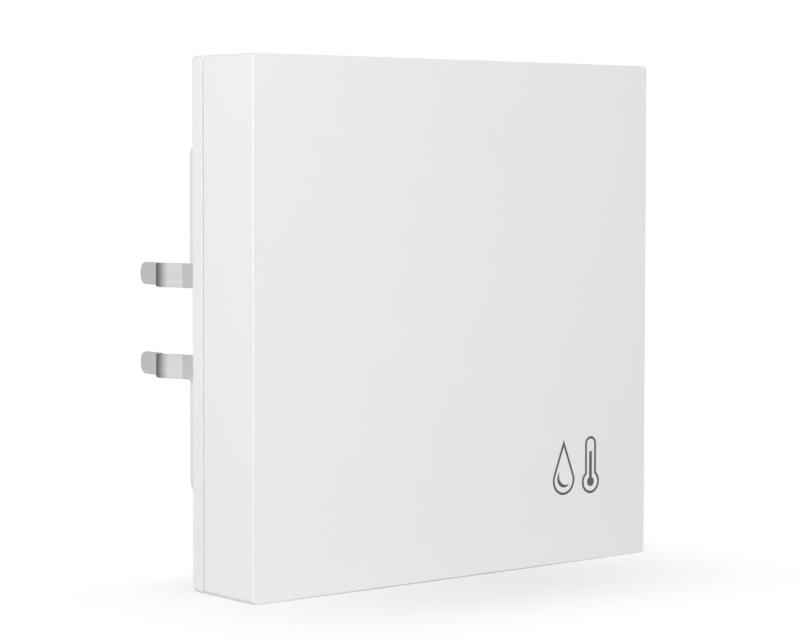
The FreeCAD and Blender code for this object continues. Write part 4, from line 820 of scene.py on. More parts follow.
def track(start, end, width=0.3, up_first=False):
    """Copper from start to end: straight, then at 45 degrees, then straight again in the same way."""
    (x0, z0), (x1, z1) = (start[::-1], end[::-1]) if up_first else (start, end)
    lead = (x1 - x0 - math.copysign(min(abs(x1 - x0), abs(z1 - z0)), x1 - x0)) / 2
    points = np.array([(x0, z0), (x0 + lead, z0), (x1 - lead, z1), (x1, z1)])
    steps = np.hypot(*np.diff(points, axis=0).T)
    points = points[np.concatenate([[True], steps > 0.02])]
    return copper(points[:, ::-1] if up_first else points, width)


def elbow(start, end, slant):
    """A track down from its start, aslant over the given run, and level to its end."""
    (x0, z0), (x1, z1) = start, end
    across, up = math.copysign(slant, x1 - x0), math.copysign(slant, z0 - z1)
    return copper([(x0, z0), (x0, z1 + up), (x0 + across, z1), (x1, z1)])


def frame_band(middle, half_width, half_height, width=LINE, base=FRONT, corner=0.3):
    """A closed printed line: an outline drawn in by its width, at the base and above it, joined round."""
    top = base - INK_DEPTH
    profile = ((0.0, base), (0.0, top), (width, top), (width, base))
    return stacked(drawn_in(half_width, half_height, corner, profile, least=0.05), middle, wrapped)


def pad(middle, half_width, half_height, base=FRONT):
    """A tinned pad with slightly rounded corners and a low crown."""
    corner = 0.25 * min(half_width, half_height)
    return slab(middle, half_width, half_height, corner,
                [(0, base), (0, base - FOIL), (corner * 0.5, base - PAD_DEPTH)], steps=3)


def dot(middle, radius, base=FRONT, height=INK_DEPTH, sides=20):
    """A flat round mark that faces -Y."""
    return spun(middle, base, [(radius, 0), (radius, height), (0, height)], sides)


def via(middle, radius=0.42, hole=0.2):
    """A small hole that the lacquer closes: a low ring of copper round a dimple."""
    return spun(middle, FRONT, [(radius, 0), (radius - 0.03, FOIL + 0.02), (hole, FOIL + 0.02),
                                (hole * 0.7, FOIL + 0.013), (0, FOIL + 0.012)], 20)


def solder_cone(middle, base, way=-1, foot=0.85, top=0.34, height=0.6, sides=20):
    """Solder drawn up a pin: the radius falls from foot to top, fast at first, as a fillet does."""
    share = np.linspace(0, 1, 7)
    radius = top + (foot - top) * (1 - share) ** 2.2
    return spun(middle, base, [(foot, -0.02)] + list(zip(radius, share * height)) + [(0, height)], sides, way)


def solder_mound(middle, half_width, half_height, height, base):
    """A drop of solder: the outline draws in as a quarter ellipse rises."""
    least = min(half_width, half_height)
    profile = [(least * (1 - math.cos(turn)), base - height * math.sin(turn)) for turn in quarter(5)[:-1]]
    return slab(middle, half_width, half_height, least * 0.8, profile, steps=3)


# %% [markdown]
# Chips are moulded in two halves, so their sides lean in both ways from a parting
# line, and a dimple marks pin 1. To keep that one surface, the rings of the top pass
# from the body's outline to a circle round the dimple, matched by direction. Their
# leads are bent strips, like the clips but smaller.

# %% Packages and leads
def ring_to_circle(outline, centre, radius):
    """Points on a circle, one in the direction of each point of an outline round it."""
    ways = outline - centre
    return centre + radius * ways / np.linalg.norm(ways, axis=1)[:, None]


def full_outline(half_width, half_height, corner, steps=5, per_side=10):
    """A rounded outline with points along its straight sides too, so that it can turn into a circle."""
    corners = rounded_outline(half_width, half_height, corner, steps)
    shares = np.arange(1, per_side)[:, None] / per_side
    parts = []
    for start in range(0, 4 * steps, steps):
        last, following = corners[start + steps - 1], corners[(start + steps) % (4 * steps)]
        parts += [corners[start:start + steps], last + shares * (following - last)]
    return np.concatenate(parts)


def package(middle, half_width, half_height, back, front, corner=0.12, draft=0.08, bowl=None):
    """A moulded body with a parting line and, if bowl is given, a round hollow: x, z, radius and depth."""
    parting, edge = (back + front) / 2, 0.05
    insets = [(draft, back), (0.0, parting), (0.0, parting - 0.03)]
    insets += [(draft + edge * (1 - math.cos(turn)), front + edge * (1 - math.sin(turn)))
               for turn in quarter(3)]
    rows = [(full_outline(half_width - inset, half_height - inset, corner), depth) for inset, depth in insets]
    if bowl:
        x, z, radius, deep = bowl
        rows += [(ring_to_circle(rows[5][0], np.array([x, z]), radius * share), front + deep * drop)
                 for share, drop in ((1.0, 0.0), (0.95, 0.7), (0.86, 1.0), (0.0, 1.0))]
    return stacked(rows, middle)


def gull_wing(edge, reach, exit_depth, half_width, thick=0.2):
    """A lead from a body's side: out, down at 80 degrees and out again on a foot that lies on the pad."""
    lean, bend = math.radians(80), thick * 0.75
    drop = FRONT - thick / 2 - exit_depth
    slope = (drop - 2 * bend * (1 - math.cos(lean))) / math.sin(lean)
    tail = 0.1 + reach * 0.25
    foot = reach + 0.1 - tail - 2 * bend * math.sin(lean) - slope * math.cos(lean)
    runs = [(tail, 0.0), (slope * math.cos(lean), slope * math.sin(lean)), (max(foot, 0.05), 0.0)]
    points, headings = bent_path((edge - 0.1, exit_depth), runs, [bend, bend], arc_steps=4, run_steps=1)
    return strip(points, headings, thick / 2, np.full(len(points), half_width), thick * 0.2)


def in_rows(shapes, middle, ways, count, pitch):
    """Shapes that run out along +X, repeated in a centred row on each side of a body that ways names."""
    copies = []
    for across, up in ways:
        for place in pitch * (np.arange(count) - (count - 1) / 2):
            for points, faces in shapes:
                x, y, z = (points + (0, 0, place)).T
                plan = np.stack([x * across - z * up, y, x * up + z * across], axis=-1)
                copies.append((plan + (middle[0], 0, middle[1]), faces))
    return copies


def leads(middle, ways, edge, reach, count, pitch, exit_depth, half_width):
    """Rows of leads, centred on the sides of a body."""
    return in_rows([gull_wing(edge, reach, exit_depth, half_width)], middle, ways, count, pitch)


def lead_pads(middle, ways, reach_to, count, pitch, half_width, half_length):
    """The pads under rows of leads, each with its solder fillet behind the toe."""
    foot = pad((reach_to - half_length + 0.15, 0.0), half_length, half_width)
    toe = solder_mound((reach_to + 0.02, 0.0), 0.16, half_width * 0.75, 0.16, FRONT - PAD_DEPTH)
    return in_rows([foot, toe], middle, ways, count, pitch)


# %% [markdown]
# The tracks join what really belongs together: the bus pins, the diode, the storage
# capacitor, the inductor and the regulator carry the supply on wide tracks, and the
# controller reaches its crystal, resistors, capacitors, transceiver, switch and the
# sensor board's link on fine ones. Each fan of tracks is one loop.

# %% Main board tracks
CONTROLLER, CONTROLLER_HALF, TRANSCEIVER = (-7.0, 8.0), 3.5, (7.0, -8.0)
CAN, INDUCTOR, DIODE, REGULATOR = (-20.0, -8.0), (-8.0, -8.0), (-20.0, 2.0), (-20.0, 12.0)
CRYSTAL, SWITCH, LAMP = (4.5, 11.0), (21.0, 8.0), (21.0, 14.0)
FINE_PITCH, WIDE_PITCH, LINK_UP = 0.8, 1.27, -20.6
CAPACITORS = [(x, z + 2.4 * (step - 1.5)) for x, z in ((-14.0, 8.0), (13.0, -8.0)) for step in range(4)]
RESISTOR_ROW = [(-7.0 + 2.4 * (step - 2), 15.0) for step in range(5)]
RESISTOR_COLUMN = [(15.0, 8.0 + 1.6 * (step - 2)) for step in range(5)]
LINK_PLACES = [(2.54 * (step - 1.5), LINK_UP) for step in range(4)]
BUS_PLACES = [(2.875 * side, -15.2) for side in (LEFT, RIGHT)]
LINK_ROUTES = [[(1.27, LINK_UP), (1.27, -19.3), (0.5, -18.5), (0.5, -12.6)],
               [(3.81, LINK_UP), (3.81, -19.2), (6.2, -16.8)]]
SWITCH_TRACKS = [((16.9, 6.0), (15.7, 4.8)), ((16.9, 10.0), (15.7, 11.2)), ((20.0, 14.0), (15.7, 11.2)),
                 ((22.2, 14.0), (27.5, 10.0)), ((27.5, 10.0), (27.5, -18.0), 0.3, True)]
SUPPLY_TRACKS = [
    (BUS_PLACES[0], (-20.0, -14.6), 1.3), ((-20.0, -14.6), (-20.0, -12.0), 1.3),
    (BUS_PLACES[1], (9.0, -14.2), 0.9), ((-20.0, -4.0), (-22.9, 2.0), 1.3, True),
    ((-17.1, 2.0), (-11.0, -8.0), 1.3), ((-22.3, 9.4), (-22.9, 2.0), 0.9, True),
    ((-20.0, 15.0), (-13.0, 19.0), 1.3), ((-13.0, 19.0), (12.0, 19.0), 0.9),
    ((-5.2, -8.0), (3.6, -11.175), 0.9), ((-26.5, -18.0), (-26.5, 18.0), 1.6, True)]
LIFT, LIFTS = 0.0015, 7


def both_sides(routes):
    """Each route on the left and on the right."""
    return [[(side * x, z) for x, z in route] for side in (LEFT, RIGHT) for route in routes]


def fan(middle, step, ends, up_first=False):
    """Tracks from evenly spaced starts to a list of ends, in order."""
    return [track((middle[0] + step[0] * number, middle[1] + step[1] * number), end, 0.28, up_first)
            for number, end in zip(np.arange(len(ends)) - (len(ends) - 1) / 2, ends)]


smooth_copy("main_board", "main_mask")
smooth_copy("sensor_board", "sensor_mask")
reach = CONTROLLER_HALF + 1.0
left_end, right_end = CONTROLLER[0] - reach, CONTROLLER[0] + reach
low_end, high_end = CONTROLLER[1] - reach, CONTROLLER[1] + reach
tracks = fan((left_end, 8.0), (0, FINE_PITCH * 2), [(x + 0.6, z) for x, z in CAPACITORS[:4]])
tracks += fan((CONTROLLER[0], high_end), (FINE_PITCH, 0), [(x, z - 0.6) for x, z in RESISTOR_ROW], True)
tracks += fan((right_end, 6.0), (0, FINE_PITCH), [(x - 0.6, z) for x, z in RESISTOR_COLUMN[:3]])
tracks += [track((right_end, 9.2), (2.6, 10.0)), track((right_end, 10.8), (2.6, 12.0))]
tracks += [track((x + 0.6, z), (x + 2.0 + 0.4 * step, z + 1.5))
           for step, (x, z) in enumerate(RESISTOR_COLUMN[3:])]
tracks += [track((x, z + 0.6), (x, z + 2.4 + 0.5 * (step % 2)), up_first=True)
           for step, (x, z) in enumerate(RESISTOR_ROW)]
tracks += [elbow((-3.8 - FINE_PITCH * step, low_end), (3.95, -3.555 - WIDE_PITCH * step),
                 4.6 + FINE_PITCH * step) for step in range(4)]
tracks += [track((x, low_end), (x, 1.8 - 0.9 * step), up_first=True)
           for step, x in enumerate((-9.8, -9.0, -8.2))]
tracks += [copper(route) for route in both_sides(LINK_ROUTES)]
tracks += fan((11.0, TRANSCEIVER[1]), (0, WIDE_PITCH * 2), [(x - 0.6, z) for x, z in CAPACITORS[4:]])
tracks += [track((13.8, z), (18.5, z + 1.2)) for _, z in CAPACITORS[4:]]
tracks += [track(*row) for row in SWITCH_TRACKS + SUPPLY_TRACKS]
tracks = [(points - (0, LIFT * (number % LIFTS), 0), faces) for number, (points, faces) in enumerate(tracks)]
make_piece("main_board_tracks", tracks, "covered_copper")

# %% Main board pads, holes and print
VIAS = [(-16.5, 15.6), (-16.5, 4.6), (-12.4, 19.0), (12.0, 19.0), (2.6, 15.2), (9.6, 15.5), (18.5, -3.2),
        (18.5, -8.0), (-1.5, 2.0), (18.5, -10.4), (18.5, -5.6), (-26.5, 18.0), (-26.5, -18.0), (27.5, -18.0),
        (27.5, 10.0), (-14.8, -16.2), (-9.8, 1.8), (-9.0, 0.9), (-8.2, 0.0), (12.5, 2.4), (20.5, -14.8),
        (24.6, 18.2), (9.0, -14.2), (-0.5, -12.6), (0.5, -12.6), (-6.2, -16.8), (6.2, -16.8)]
FIRST_PIN_DOTS = [(-12.7, 13.2), (2.9, -2.0), (-24.1, 3.3), (-6.4, -18.6), (18.8, 15.2), (1.0, 13.6)]
TEST_POINTS = [(-6.0 + 3.0 * step, 20.6) for step in range(5)]
PART_FRAMES = [(CONTROLLER, 5.2, 5.2), (TRANSCEIVER, 3.6, 5.6), (INDUCTOR, 3.7, 3.5), (DIODE, 3.7, 1.8),
               (REGULATOR, 3.7, 3.8), (CRYSTAL, 3.1, 2.2), (LAMP, 1.8, 1.05), ((0.0, LINK_UP), 5.4, 1.55)]
LEAD_PADS = [
    (CONTROLLER, SIDES_X + SIDES_Z, 4.5, 8, FINE_PITCH, 0.24, 0.5),
    (TRANSCEIVER, SIDES_X, 3.0, 8, WIDE_PITCH, 0.35, 0.6), (SWITCH, SIDES_X, 4.0, 2, 4.0, 0.65, 0.7),
    (DIODE, SIDES_X, 2.9, 1, 0.0, 0.95, 0.65), (REGULATOR, SIDES_Z[1:], 2.95, 3, 2.3, 0.55, 0.7),
    (REGULATOR, SIDES_Z[:1], 2.95, 1, 0.0, 1.7, 0.7)]
pads = [shape for row in LEAD_PADS for shape in lead_pads(*row)]
for side in (LEFT, RIGHT):
    pads += [pad((LAMP[0] + side * 1.05, LAMP[1]), 0.45, 0.7), pad((CAN[0], CAN[1] + side * 3.9), 1.2, 1.3),
             pad((INDUCTOR[0] + side * 2.6, INDUCTOR[1]), 0.8, 2.2)]
    pads += [pad((x + side * 0.75, z), 0.45, 0.5) for x, z in CAPACITORS + RESISTOR_COLUMN]
    pads += [pad((x, z + side * 0.75), 0.5, 0.45) for x, z in RESISTOR_ROW]
    pads += [pad((CRYSTAL[0] + side * 1.9, CRYSTAL[1] + rise), 0.8, 0.6) for rise in (-1.1, 1.1)]
pads += [dot(place, 0.75, height=PAD_DEPTH) for place in TEST_POINTS]
pads += [dot(place, 1.6, height=PAD_DEPTH, sides=32) for place in BUS_PLACES]
pads += [solder_cone(place, FRONT, -1, 1.45, 0.8, 0.55, 32) for place in BUS_PLACES]
pads += [solder_cone(place, BACK, 1) for place in LINK_PLACES]
make_piece("main_board_pads", pads, "solder")
make_piece("main_board_vias", [via(place) for place in VIAS], "covered_copper")
prints = [frame_band(*row) for row in PART_FRAMES] + [frame_band(CAN, 4.75, 5.6, corner=1.2)]
prints += [ribbon([(16.95, 11.5), (25.9, 11.5), (25.9, 4.5), (16.95, 4.5)])]
prints += [frame_band(place, 1.55, 0.8, 0.12, corner=0.15) for place in CAPACITORS]
prints += [frame_band(place, 1.55, 0.72, 0.12, corner=0.15) for place in RESISTOR_COLUMN]
prints += [frame_band(place, 0.8, 1.55, 0.12, corner=0.15) for place in RESISTOR_ROW]
prints += [dot(place, 0.28) for place in FIRST_PIN_DOTS]
prints += [ribbon([(-17.0, -3.3), (-16.1, -3.3)]),
           ribbon([(-16.55, -3.75), (-16.55, -2.85)], height=INK_DEPTH + 0.002)]
prints += [ribbon([(x, 21.9), (x, 22.5)]) for x, _ in TEST_POINTS]
make_piece("main_board_print", prints, "print_ink")

# %% [markdown]
# On the sensor board four tracks run from the pins, past the ends of the level slot,
# to the element. The slots leave only two thin bridges, so that little warmth crosses.

# %% Sensor board tracks, pads and print
SENSOR_ROUTES = [
    [(1.27, -21.4), (1.27, -26.5), (4.2, -29.4), (4.2, -33.3), (1.75, -35.75)],
    [(3.81, -21.4), (3.81, -26.2), (4.6, -27.0), (4.6, -33.1), (4.2, -33.6), (4.2, -34.6), (2.2, -36.6),
     (1.75, -36.6)]]
ELEMENT = (0.0, -36.6)
SCREW_PLACES = [(7.6 * side, -28.6) for side in (LEFT, RIGHT)]
tracks = [ribbon(route, 0.22, SENSOR_FRONT, FOIL) for route in both_sides(SENSOR_ROUTES)]
make_piece("sensor_board_tracks", tracks, "covered_copper")
pads = [solder_cone(place, SENSOR_FRONT) for place in LINK_PLACES]
pads += [dot(place, 2.3, SENSOR_FRONT, PAD_DEPTH, 40) for place in SCREW_PLACES]
pads += [pad((side * 1.6, ELEMENT[1] + rise), 0.35, 0.22, SENSOR_FRONT)
         for side in (LEFT, RIGHT) for rise in (-0.85, 0.0, 0.85)]
make_piece("sensor_board_pads", pads, "solder")
prints = [frame_band((0.0, LINK_UP), 5.4, 1.5, base=SENSOR_FRONT),
          frame_band(ELEMENT, 2.4, 2.2, base=SENSOR_FRONT),
          dot((-2.0, -34.0), 0.22, SENSOR_FRONT), dot((-5.9, -20.6), 0.28, SENSOR_FRONT)]
make_piece("sensor_board_print", prints, "print_ink")

# %% [markdown]
# Chips come as a black body and rows of tinned leads, so that each has its own finish.
# A row gives the body's half sizes, back, front, corner, draft and dimple, then each
# set of leads: its sides, edge, reach, count, pitch, level and half width. A stripe
# burnt by laser marks the diode's cathode and the transceiver's first end.

# %% Chips
CHIP_ROWS = [
    ("microcontroller", "leads", CONTROLLER, (3.5, 3.5, 0.45, -0.95, 0.3, 0.1, (-2.45, 2.45, 0.45, 0.07)),
     [(SIDES_X + SIDES_Z, CONTROLLER_HALF, 1.0, 8, FINE_PITCH, -0.25, 0.175)]),
    ("bus_transceiver", "leads", TRANSCEIVER, (2.0, 5.0, 0.45, -1.15, 0.15, 0.08, (-1.15, 4.1, 0.4, 0.07)),
     [(SIDES_X, 2.0, 1.0, 8, WIDE_PITCH, -0.35, 0.175)]),
    ("surge_diode", "tabs", DIODE, (2.15, 1.3, 0.55, -1.5, 0.12, 0.16),
     [(SIDES_X, 2.15, 0.75, 1, 0.0, -0.35, 0.75)]),
    ("voltage_regulator", "leads", REGULATOR, (3.25, 1.75, 0.55, -1.0, 0.12, 0.14),
     [(SIDES_Z[1:], 1.75, 1.0, 3, 2.3, -0.25, 0.35), (SIDES_Z[:1], 1.75, 1.0, 1, 0.0, -0.25, 1.5)])]
for node, lead_name, place, body, lead_sets in CHIP_ROWS:
    dress(node, "body", "black_epoxy", package(place, *body))
    dress(node, lead_name, "tinned", *(lead for row in lead_sets for lead in leads(place, *row)))
stripes = [ribbon([(-21.45, 0.95), (-21.45, 3.05)], 0.5, -1.5, 0.01),
           ribbon([(5.3, -3.5), (8.7, -3.5)], LINE, -1.15, 0.01)]
make_piece("chip_stripes", stripes, "laser_mark")

# %% [markdown]
# The storage capacitor is a drawn aluminium can, crimped round its rubber stopper, on
# a black foot with two cut corners. Its lid is scored in three lines so that it can
# open under pressure. The score is a height field in polar form: its columns crowd
# towards the three lines, where the narrow groove needs them.

# %% Storage capacitor
CAN_TALL, LID_LEVEL, CAN_BASE = 7.0, 6.82, -0.3
SCORE_DEEP, SCORE_HALF, SCORE_END = 0.09, 0.09, 2.3
MARK_RADIUS, MARK_CHORD = 2.9, 1.55


def cornered(half, cuts, per_side=1):
    """A square with its corners cut at 45 degrees, each side divided into equal steps."""
    right, top, left, low = cuts
    corners = np.array([(half, half - right), (half - right, half), (top - half, half), (-half, half - top),
                        (-half, left - half), (left - half, -half), (half - low, -half), (half, low - half)])
    share = np.arange(per_side)[:, None] / per_side
    return np.concatenate([first + share * (second - first)
                           for first, second in zip(corners, np.roll(corners, -1, axis=0))])


def can_surface():
    """The can's wall with its crimp as a lathe shape, and its lid with three scored grooves."""
    half = np.linspace(-1, 1, 25)[:-1]
    off = np.sign(half) * np.abs(half) ** 2.2 * np.pi / 3
    turn = (off + np.arange(3)[:, None] * np.pi * 2 / 3).ravel()
    wall = [(3.7, 0.0), (3.92, 0.05), (4.0, 0.2), (4.0, 0.75), (3.93, 0.92), (3.72, 1.12), (3.66, 1.3),
            (3.72, 1.48), (3.93, 1.68), (4.0, 1.85), (4.0, 6.55)]
    wall += list(zip(3.6 + 0.4 * np.cos(quarter(6)[1:]), 6.6 + 0.4 * np.sin(quarter(6)[1:])))
    lid = [(3.4, CAN_TALL), (3.2, CAN_TALL - 0.03), (3.05, LID_LEVEL + 0.03), (2.95, LID_LEVEL)]
    lid += [(radius, LID_LEVEL) for radius in np.linspace(2.8, 0.0, 15)]
    radius, along = np.array(wall + lid).T[..., None]
    distance = radius * np.sin(np.abs(np.tile(off, 3)))
    inside = np.clip((SCORE_END - radius) / 0.2, 0, 1)
    height = along - SCORE_DEEP * inside * np.exp(-(distance / SCORE_HALF) ** 2)
    return polar_loft(CAN, radius, CAN_BASE - height, turn)


def lid_mark():
    """The black segment that marks the negative side: the part of the lid left of a chord."""
    span = math.acos(MARK_CHORD / MARK_RADIUS)
    outline = MARK_RADIUS * unit(np.linspace(np.pi - span, np.pi + span, 24))
    return stacked([(outline, CAN_BASE - LID_LEVEL), (outline, CAN_BASE - LID_LEVEL - 0.012)], CAN)


foot_rows = ((0.05, FRONT), (0.0, FRONT - 0.05), (0.0, -0.05), (0.12, -0.25), (0.3, -0.3))
foot = stacked([(cornered(4.15 - inset, (0.15, 1.3, 1.3, 0.15)), depth) for inset, depth in foot_rows], CAN)
dress("storage_capacitor", "can", "drawn_aluminium", can_surface())
dress("storage_capacitor", "foot", "black_moulding", foot)
dress("storage_capacitor", "mark", "symbol_ink", lid_mark())

# %% [markdown]
# The inductor is a wound drum inside an eight-sided ferrite shield. One surface gives
# both: rings go from the eight-sided outline to a circle, down into the gap and up
# again to the drum. Each ring has as many points as the outline, matched by direction.

# %% Inductor
DRUM, GAP, GAP_LEVEL, SHIELD_FRONT = 2.1, 2.32, -1.55, -2.2
outline = cornered(2.92, (1.3,) * 4, 6)
rows = [(outline, FRONT), (outline, SHIELD_FRONT + 0.12), (outline * 0.985, SHIELD_FRONT + 0.03),
        (outline * 0.96, SHIELD_FRONT)]
rows += [(ring_to_circle(outline, np.zeros(2), radius), depth) for radius, depth in (
    (GAP + 0.08, SHIELD_FRONT), (GAP, SHIELD_FRONT + 0.08), (GAP, GAP_LEVEL), (DRUM, GAP_LEVEL),
    (DRUM, SHIELD_FRONT + 0.16), (DRUM - 0.08, SHIELD_FRONT + 0.08), (0.0, SHIELD_FRONT + 0.08))]
resin_rows = [(unit(full_turn(48)) * radius, depth) for radius, depth in (
    (GAP + 0.05, GAP_LEVEL + 0.1), (GAP + 0.05, -1.75),
    (DRUM - 0.05, -1.75), (DRUM - 0.05, GAP_LEVEL + 0.1))]
terminals = [slab((INDUCTOR[0] + side * 2.75, INDUCTOR[1]), 0.25, 1.3, 0.08, eased(FRONT, -0.5, 0.06))
             for side in (LEFT, RIGHT)]
dress("power_inductor", "core", "ferrite", stacked(rows, INDUCTOR))
dress("power_inductor", "resin", "winding_resin", stacked(resin_rows, INDUCTOR, wrapped))
make_piece("power_inductor_terminals", terminals, "tinned", "power_inductor")

# %% [markdown]
# A small ceramic part is a fired body between two tinned ends. A resistor's body is
# white alumina with a black film under glass on its front.

# %% Ceramic capacitors, resistors and crystal
def lying(half_long, half_wide, along_x):
    """Half sizes along X and Z."""
    return (half_long, half_wide) if along_x else (half_wide, half_long)


def both_ends(middle, along_x, out):
    """The places at the given distance from the middle, one towards each end."""
    ways = SIDES_X if along_x else SIDES_Z
    return [(middle[0] + across * out, middle[1] + up * out) for across, up in ways]


def end_caps(middle, along_x, tall):
    """The two metal ends, a little larger than the body between them."""
    return [slab(place, *lying(0.19, 0.4, along_x), 0.07, eased(FRONT, FRONT - tall, 0.06, steps=3), steps=3)
            for place in both_ends(middle, along_x, 0.61)]


def end_fillets(middle, along_x, height):
    """Solder drawn up the two ends of a small part."""
    return [solder_mound(place, *lying(0.26, 0.34, along_x), height, FRONT - FOIL)
            for place in both_ends(middle, along_x, 0.84)]


def small_body(middle, along_x, back, front, half_long=0.5, half_wide=0.37):
    """The body between the ends, or the film on it."""
    size = lying(half_long, half_wide, along_x)
    return [slab(middle, *size, 0.04, eased(back, front, 0.03, steps=3), steps=3)]


capacitors = [(place, True) for place in CAPACITORS]
resistors = [(place, False) for place in RESISTOR_ROW] + [(place, True) for place in RESISTOR_COLUMN]
SMALL_ROWS = [
    ("ceramic_capacitor", "bodies", small_body, capacitors, (0.58, -0.18), "tan_ceramic"),
    ("ceramic_capacitor", "ends", end_caps, capacitors, (0.8,), "tinned"),
    ("chip_resistor", "bodies", small_body, resistors, (0.58, 0.18), "white_ceramic"),
    ("chip_resistor", "films", small_body, resistors, (0.2, 0.155, 0.44, 0.34), "resistor_film"),
    ("chip_resistor", "ends", end_caps, resistors, (0.44,), "tinned")]
for kind, part_name, shape, parts, sizes, finish in SMALL_ROWS:
    make_piece(kind + "_" + part_name, [surface for part in parts for surface in shape(*part, *sizes)],
               finish, kind + "s")
make_piece("small_part_solder", [fillet for parts, height in ((capacitors, 0.42), (resistors, 0.26))
                                 for part in parts for fillet in end_fillets(*part, height)],
           "solder")
lid_rows = [(0.0, 0.05), (0.0, -0.06), (0.05, -0.09), (0.28, -0.09), (0.30, -0.12), (0.31, -0.36),
            (0.36, -0.46), (0.46, -0.5)]
dress("quartz_crystal", "base", "black_epoxy", slab(CRYSTAL, 2.5, 1.6, 0.12, eased(FRONT, 0.05, 0.06)))
dress("quartz_crystal", "lid", "plated_lid", slab(CRYSTAL, 2.4, 1.5, 0.4, lid_rows, steps=8))

# %% [markdown]
# The push switch has a black body with a round well, under a steel cover whose four
# plastic rivets are melted over. In the well lies the snap dome, a shallow spring
# disc. The red button stands above it, its end dished a little for the finger.

# %% Programming switch, dome, button and lamp
WELL_RADIUS, WELL_FLOOR, SWITCH_FRONT, COVER_FRONT = 1.78, -1.1, -2.5, -2.84
BUTTON_RADIUS, BUTTON_BACK, BUTTON_TALL, BUTTON_EDGE = 1.7, -1.72, 3.6, 0.3


def holed(rows, circles):
    """An outline's rows, followed by the rows of circles in it, matched by direction."""
    return rows + [(ring_to_circle(rows[0][0], np.zeros(2), radius), depth) for radius, depth in circles]


body_rows = [(full_outline(3.0 - inset, 3.0 - inset, 0.35), depth) for inset, depth in (
    (0.1, FRONT), (0.0, FRONT - 0.1), (0.0, -2.35), (0.14, SWITCH_FRONT))]
body_rows = holed(body_rows, ((WELL_RADIUS + 0.04, SWITCH_FRONT), (WELL_RADIUS, SWITCH_FRONT + 0.04),
                              (WELL_RADIUS, WELL_FLOOR), (0.0, WELL_FLOOR)))
outline = full_outline(2.97, 2.97, 0.4)
cover_rows = [(outline, -1.9), (outline, -2.72), (outline * 0.99, -2.8), (outline * 0.97, COVER_FRONT)]
cover_rows = holed(cover_rows, ((2.08, COVER_FRONT), (2.0, -2.80), (2.0, -2.56)))
cover_rows += [(outline * 0.93, -2.56), (outline * 0.96, -2.52), (outline * 0.96, -1.9)]
round_rows = [(0.42, 0.0)] + list(zip(0.42 * np.cos(quarter(6)), 0.04 + 0.12 * np.sin(quarter(6))))
melted = [spun((SWITCH[0] + across * 2.35, SWITCH[1] + up * 2.35), -2.82, round_rows, 20)
          for across in (LEFT, RIGHT) for up in (DOWN, UP)]
dress("programming_switch", "body", "black_moulding", stacked(body_rows, SWITCH), *melted)
dress("programming_switch", "cover", "plated_lid", stacked(cover_rows, SWITCH, wrapped))
dress("programming_switch", "legs", "tinned", *leads(SWITCH, SIDES_X, 3.0, 1.0, 2, 4.0, -0.3, 0.45))
radius = np.linspace(1.6, 0.0, 12)
dome_rows = [(0.0, 0.0), (1.5, 0.0)] + list(zip(radius, 0.04 + 0.08 * (1 - (radius / 1.6) ** 2)))
dress("switch_dome", "disc", "plated_lid", spun(SWITCH, WELL_FLOOR, dome_rows))
button_rows = [(0.0, 0.0), (1.55, 0.0), (BUTTON_RADIUS, 0.15), (BUTTON_RADIUS, BUTTON_TALL - BUTTON_EDGE)]
button_rows += list(zip(BUTTON_RADIUS - BUTTON_EDGE * (1 - np.cos(quarter(7))),
                        BUTTON_TALL - BUTTON_EDGE * (1 - np.sin(quarter(7)))))
button_rows += [(radius, BUTTON_TALL - 0.14 * (1 - (radius / 1.4) ** 2))
                for radius in np.linspace(1.3, 0.0, 8)]
dress("programming_button", "cap", "red_moulding", spun(SWITCH, BUTTON_BACK, button_rows, 56))
lamp_ends = [slab((LAMP[0] + side * 0.84, LAMP[1]), 0.16, 0.62, 0.08, eased(FRONT, 0.15, 0.05))
             for side in (LEFT, RIGHT)]
lens_rows = eased(0.12, -0.4, 0.22, draft=0.04, steps=7)
dress("programming_lamp", "foot", "lamp_body", slab(LAMP, 0.72, 0.6, 0.06, eased(FRONT, 0.1, 0.05)))
dress("programming_lamp", "ends", "tinned", *lamp_ends)
dress("programming_lamp", "lens", "lamp_lens", slab(LAMP, 0.62, 0.62, 0.2, lens_rows))

# %% [markdown]
# The sensing element is a square chip with a round port, closed by a white membrane.

# %% Sensing element
element = package(ELEMENT, 1.5, 1.5, SENSOR_FRONT, -11.0, 0.12, 0.02, (0.0, 0.0, 0.75, 0.4))
dress("sensing_element", "body", "black_epoxy", element)
dress("sensing_element", "filter", "filter_cloth", dot(ELEMENT, 0.72, -10.62, 0.08, 36))

# %% [markdown]
# The two boards meet through square pins: a header of four blocks that could be cut
# apart, and a socket on the back of the sensor board. Their pins end in short
# pyramids and are soldered on both boards. The bus pins are lathe shapes.

# %% Link and bus inlet
PIN_HALF, PIN_TAPER, PIN_FRONT, PIN_BACK = 0.32, 0.28, -10.7, 3.0
block_rows = ((0.05, FRONT), (0.0, FRONT - 0.05), (0.0, -1.84), (0.06, -1.9))
pin_rows = [(PIN_HALF * 0.65, PIN_BACK), (0.0, PIN_BACK - PIN_TAPER), (0.0, PIN_FRONT + PIN_TAPER),
            (PIN_HALF * 0.65, PIN_FRONT)]
socket_rows = eased(-5.1, -8.9, 0.1)[1:] + [(0.3, -8.9)]
bus_rows = [(0.0, 0.0), (0.68, 0.0), (0.8, 0.12), (0.8, 3.3), (0.5, 3.3), (0.5, 6.9), (0.47, 7.0),
            (0.25, 7.28), (0.16, 7.3), (0.0, 7.3)]


def link_block(middle):
    """One block of the header: an outline with cut corners and eased ends, 0.012 mm wider than it is high."""
    outlines = [cornered(1.25 - inset, (0.3,) * 4) + np.sign(cornered(1.25, (0.3,) * 4)) * (0.012, 0.0)
                for inset, _ in block_rows]
    return stacked(list(zip(outlines, [depth for _, depth in block_rows])), middle)


